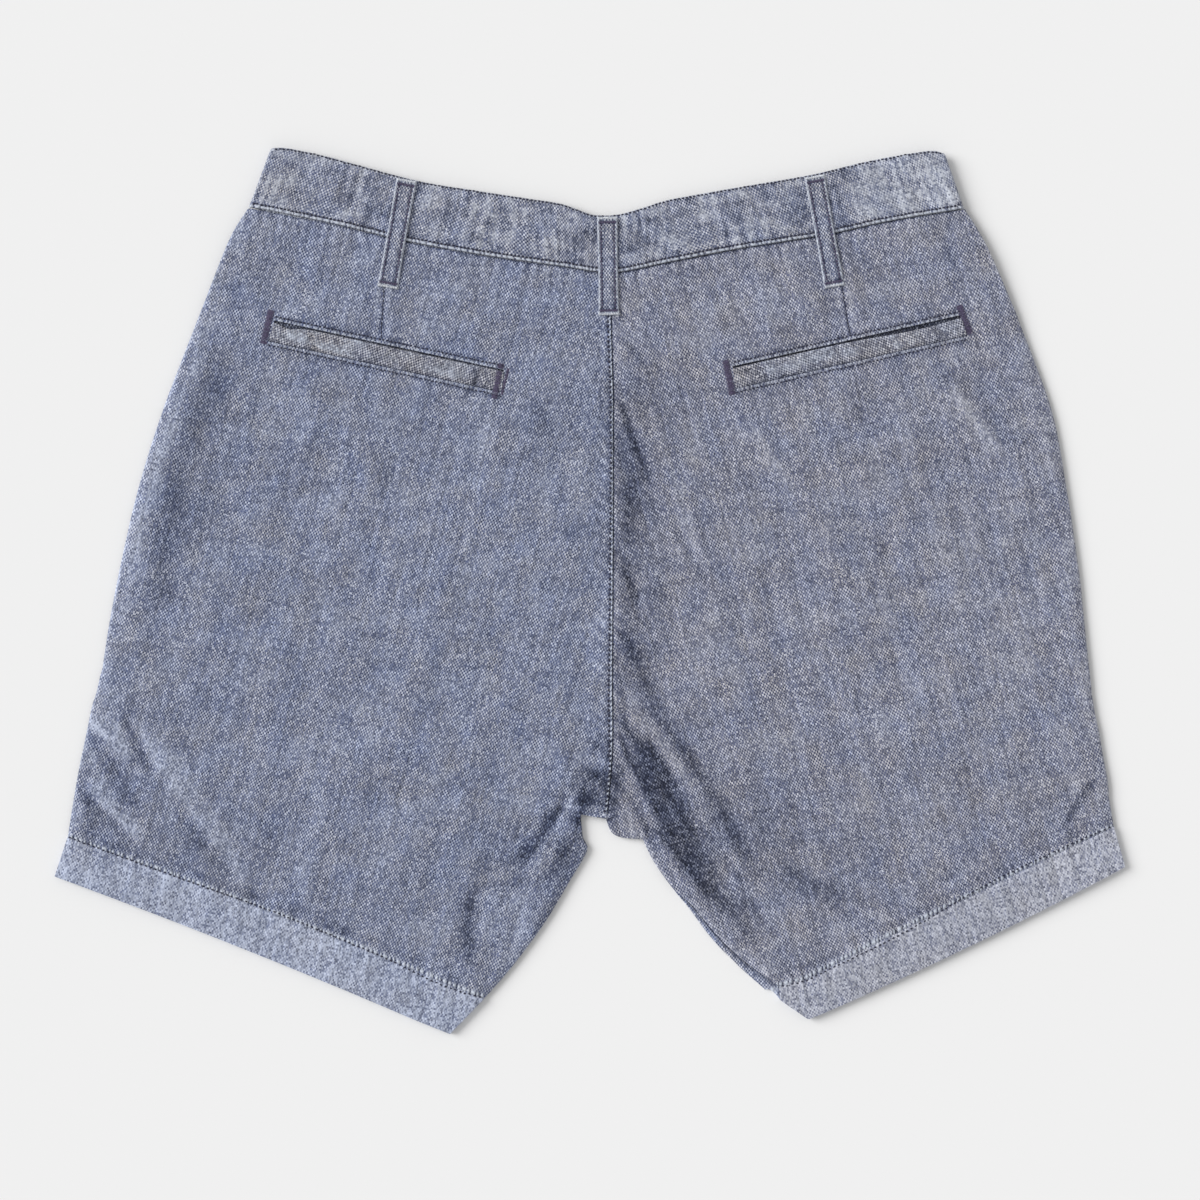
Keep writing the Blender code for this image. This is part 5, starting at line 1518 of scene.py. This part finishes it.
NAVY_THREAD = thread_material("navy thread", (0.005, 0.006, 0.02), (0.022, 0.023, 0.06))
PURPLE_THREAD = thread_material("purple thread", (0.03, 0.024, 0.062), (0.1, 0.08, 0.155))
BARE_WEFT = thread_material("bare weft", (0.36, 0.39, 0.46), (0.82, 0.84, 0.87))


# %% Stitch runs
ABOVE = 0.12            # how far a stitch's middle is above the cloth, as a share of its thickness
FLUSH = -0.42           # on the under side stitches lie flush, because the cloth rests on them
NEEDLE_START = 0.05     # in metres, above or below the table


def surface_of(*pieces):
    """What a needle meets: the cloth pieces as one tree, in metres."""
    bm = bmesh.new()
    for piece in pieces:
        bm.from_mesh(piece.data)
    tree = BVHTree.FromBMesh(bm)
    bm.free()
    return tree


def touch(tree, x, y):
    """Where a needle at (x, y), in mm, meets the cloth, and which way the cloth faces."""
    side = -1 if tree is UNDER else 1
    found, normal, _, _ = tree.ray_cast(Vector((x * MM, y * MM, side * NEEDLE_START)), Vector((0, 0, -side)))
    return (found / MM if found else None), normal


def offset_line(points, distance):
    """A line moved to its left by a distance."""
    points = np.asarray(points, float)
    along = np.gradient(points, axis=0)
    along /= np.linalg.norm(along, axis=1)[:, None]
    return points + np.stack([-along[:, 1], along[:, 0]], axis=1) * distance


def stitch_shape():
    """One stitch, a small round body along X with few faces, as arrays."""
    bm = bmesh.new()
    turned = Matrix.Rotation(math.pi / 2, 4, "Y")
    bmesh.ops.create_uvsphere(bm, u_segments=6, v_segments=4, radius=1.0, matrix=turned)
    bm.verts.index_update()
    corners = np.array([(*v.co, 1.0) for v in bm.verts])
    faces = [[v.index for v in face.verts] for face in bm.faces]
    bm.free()
    return corners, faces


STITCH_CORNERS, STITCH_FACES = stitch_shape()


def joined_stitches(name, places, mat, slot):
    """All the stitches of one kind as one mesh."""
    corners = np.concatenate([STITCH_CORNERS @ np.array(place).T for place in places])[:, :3]
    step = len(STITCH_CORNERS)
    faces = [[i + k * step for i in face] for k in range(len(places)) for face in STITCH_FACES]
    mesh = bpy.data.meshes.new(name)
    mesh.from_pydata(corners, [], faces)
    bm = bmesh.new()
    bm.from_mesh(mesh)
    bpy.data.meshes.remove(mesh)
    return finish_piece(name, bm, mat, slot, 180)


def sew(places, tree, line, pitch, thread, seed, stitch_share=0.72, jitter=0.12):
    """Lays stitches along a line: pitch is from one stitch to the next, thread is its thickness."""
    line = np.asarray(line, float)
    steps = np.linalg.norm(np.diff(line, axis=0), axis=1)
    run = np.concatenate([[0], np.cumsum(steps)])
    random = np.random.default_rng(seed)
    count = max(1, int(run[-1] / pitch))
    half = pitch * stitch_share / 2
    for k in range(count):
        middle = (k + 0.5) * run[-1] / count
        start, end = [
            np.array([np.interp(at, run, line[:, axis]) for axis in (0, 1)])
            for at in (middle - half, middle + half)
        ]
        x, y = [(start[axis] + end[axis]) / 2 + random.normal(0, jitter) for axis in (0, 1)]
        at, normal = touch(tree, x, y)
        if at is None:
            continue
        along = Vector((*(end - start), 0)).normalized()
        across = normal.cross(along).normalized()
        along = across.cross(normal)
        turn = Matrix((along, across, normal)).transposed().to_4x4()
        size = Matrix.Diagonal((half, thread / 2 * random.uniform(0.85, 1.15), thread * 0.42, 1))
        sunk = FLUSH if tree is UNDER else ABOVE
        places.append(Matrix.Translation(at + normal * thread * sunk) @ turn @ size)
    return count


def straight(a, b, points=12):
    return np.linspace(np.array(a, float), np.array(b, float), points)


TOP = surface_of(back_left, back_right, band_left, band_right)
LOOPS_TOP = surface_of(*loops[:3])
POCKETS_TOP = surface_of(back_left, back_right, left_pocket[0], right_pocket[0])
UNDER = surface_of(front_left, front_right, band_left, band_right, *loops[3:])

# %% Waist and waistband edges
FRONT_EDGE_STITCH = 1.5  # from the front waistband's upper edge
places = []
sewn = 0
for stations in (BAND_LEFT, BAND_RIGHT):
    seam = curve_through([(s.seam_x, s.seam_y) for s in stations], 8)
    top = curve_through([(s.top_x, s.top_y) for s in stations], 8)
    sign = 1 if stations is BAND_RIGHT else -1
    sewn += sew(places, TOP, offset_line(seam, 2.4 * sign), pitch=2.4, thread=1.4, seed=1)
    sewn += sew(places, TOP, offset_line(top, -0.8 * sign), pitch=2.4, thread=1.3, seed=2, stitch_share=0.7)
    opening, last = OPENING_X + sign * 2.0, stations[-1]
    front_seam = straight(
        (last.seam_x, last.seam_y + BAND_STITCH), (opening, FRONT_SEAM_Y + BAND_STITCH)
    )
    front_edge = straight(
        (last.top_x, last.top_y - FRONT_EDGE_STITCH), (opening, FRONT_BAND_TOP_Y - FRONT_EDGE_STITCH)
    )
    sewn += sew(places, UNDER, front_seam, pitch=2.5, thread=0.5, seed=3)
    sewn += sew(places, UNDER, front_edge, pitch=2.5, thread=0.5, seed=4)
waist_stitches = joined_stitches("waist_stitches", places, NAVY_THREAD, PANEL_CLOTH.slot)
print("waist stitches:", sewn)

# %% Middle seam, darts and pocket topstitching
MIDDLE_SEAM = curve_through((
    (12.1, 196.0), (13.9, 139.8), (14.8, 105.7), (14.3, -5.3), (13.5, -68.3), (14.2, -104.5), (13.3, -121.2),
    (10.8, -138.0),
), 10)
places = []
sewn = sew(
    places, TOP, MIDDLE_SEAM - np.array((1.7, 0)), pitch=3.1, thread=1.45, seed=5, stitch_share=0.62
)
for dart in DARTS:
    sewn += sew(places, TOP, straight(*dart), pitch=2.6, thread=0.7, seed=6, stitch_share=0.95)
for rows, slit in POCKETS:
    for name, above, thread, seed in (("pocket mouth", 2.4, 1.1, 7), ("welt seam", -2.3, 1.0, 8)):
        line = straight(*pocket_ends(rows, slit, name)) + (0, above)
        sewn += sew(places, TOP, line, pitch=2.5, thread=thread, seed=seed, stitch_share=0.62)
seam_stitches = joined_stitches("seam_stitches", places, NAVY_THREAD, PANEL_CLOTH.slot)
print("seam stitches:", sewn)

# %% Hems, on both sides, and the fly under the front
HEM_LEFT = (
    (-323.0, -152.5), (-283.5, -167.0), (-238.5, -183.5), (-198.5, -197.5), (-160.5, -213.0),
    (-127.5, -227.0), (-91.5, -244.0), (-66.5, -252.0),
)
HEM_RIGHT = (
    (108.5, -244.0), (118.0, -245.0), (133.5, -241.5), (148.0, -234.5), (185.5, -216.5), (209.0, -203.5),
    (242.5, -183.5), (266.5, -171.5), (297.5, -157.0), (323.0, -146.0),
)
FLY_WIDTH = 38.0
FLY_LENGTH = 150.0
FLY_CURVE = ((1.0, 1 / FLY_LENGTH), (1.0, 0.55), (0.88, 0.78), (0.5, 0.94), (2 / FLY_WIDTH, 1.0))
places = []
sewn = 0
for line in (HEM_LEFT, HEM_RIGHT):
    hem = curve_through(line, 8)
    sewn += sew(places, TOP, hem, pitch=3.1, thread=1.05, seed=9, stitch_share=0.55)
    sewn += sew(places, UNDER, hem, pitch=3.3, thread=0.8, seed=10, stitch_share=0.5)
fly = [(OPENING_X - FLY_WIDTH * out, FRONT_SEAM_Y - FLY_LENGTH * down) for out, down in FLY_CURVE]
sewn += sew(places, UNDER, curve_through(fly, 10), pitch=2.7, thread=0.5, seed=11)
front_middle = straight((OPENING_X + 3.0, FRONT_SEAM_Y - 2.0), (13.5, -138.0), 40)
sewn += sew(places, UNDER, front_middle, pitch=2.7, thread=0.5, seed=12)
hem_stitches = joined_stitches("hem_and_fly_stitches", places, NAVY_THREAD, PANEL_CLOTH.slot)
print("hem and fly stitches:", sewn)

# %% Belt loop stitching
LOOP_STITCH_END = 4.5   # the stitching stops this far from the loop's ends
SIDE_OF_LOOP = LOOP_WIDTH / 2 - LOOP_STITCH
places = []
sewn = 0
for loop in BACK_LOOPS:
    top, end, along, _, _ = loop_line(loop)
    for side in (-1, 1):
        middle = straight(top + along * LOOP_STITCH_END, end - along * LOOP_STITCH_END)
        edge = offset_line(middle, side * SIDE_OF_LOOP)
        sewn += sew(places, LOOPS_TOP, edge, pitch=2.0, thread=1.1, seed=13 + side)
for name, x_middle in FRONT_LOOPS:
    low, high = [corner.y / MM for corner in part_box(name)]
    for side in (-1, 1):
        x = x_middle + side * SIDE_OF_LOOP
        edge = straight((x, high - LOOP_STITCH_END), (x, low + LOOP_STITCH_END))
        sewn += sew(places, UNDER, edge, pitch=2.0, thread=0.7, seed=17)
loop_stitches = joined_stitches("loop_stitches", places, PURPLE_THREAD, BAND_CLOTH.slot)
print("loop stitches:", sewn)


# %% Bartacks: a dense zigzag over a line
POCKET_BARTACKS = (     # from, to, width
    ((-196.8, 173.5), (-201.8, 152.5), 5.0), ((-54.5, 140.5), (-59.0, 118.5), 4.4),
    ((-50.1, 137.5), (-54.4, 121.0), 1.9), ((84.0, 142.5), (88.5, 121.0), 4.8),
    ((228.5, 176.5), (235.5, 158.5), 4.8),
)
TACK_PITCH = 0.55
TACK_THREAD = 0.62


def bartack(places, tree, a, b, width, seed):
    a, b = np.array(a, float), np.array(b, float)
    length = np.linalg.norm(b - a)
    along = (b - a) / length
    across = np.array((-along[1], along[0])) * width / 2
    count = round(length / TACK_PITCH)
    for k in range(count):
        middle = lerp(a, b, (k + 0.5) / count)
        line = straight(middle - across, middle + across, 3)
        sew(places, tree, line, width, TACK_THREAD, seed + k, stitch_share=1.0, jitter=0.1)


def across_ends(places, from_top, from_end, from_side, width, seed):
    """The same zigzag over both ends of each back loop."""
    for loop in BACK_LOOPS:
        top, end, along, across, _ = loop_line(loop)
        out = across * (LOOP_WIDTH / 2 - from_side)
        for at in (top + along * from_top, end - along * from_end):
            bartack(places, LOOPS_TOP, at - out, at + out, width, seed)


places = []
across_ends(places, from_top=LOOP_TACK, from_end=3.0, from_side=0.8, width=1.7, seed=100)
for a, b, width in POCKET_BARTACKS:
    bartack(places, POCKETS_TOP, a, b, width, 300)
bartacks = joined_stitches("bartacks", places, PURPLE_THREAD, BAND_CLOTH.slot)
print("bartack faces:", len(bartacks.data.polygons))

# %% Frayed ends of the belt loops, where the indigo has worn off the weft
places = []
across_ends(places, from_top=0.9, from_end=0.9, from_side=0.5, width=1.5, seed=500)
frayed_ends = joined_stitches("frayed_ends", places, BARE_WEFT, BAND_CLOTH.slot)
print("frayed ends:", len(places), "tufts")

# %% [markdown]
# ## The cloth sheets
#
# The shorts are made of fifteen sheets of cloth: four panels, two waistband halves, five belt loops, two
# welts and two facings.

# %% Count the sheets
print("cloth sheets: 15")
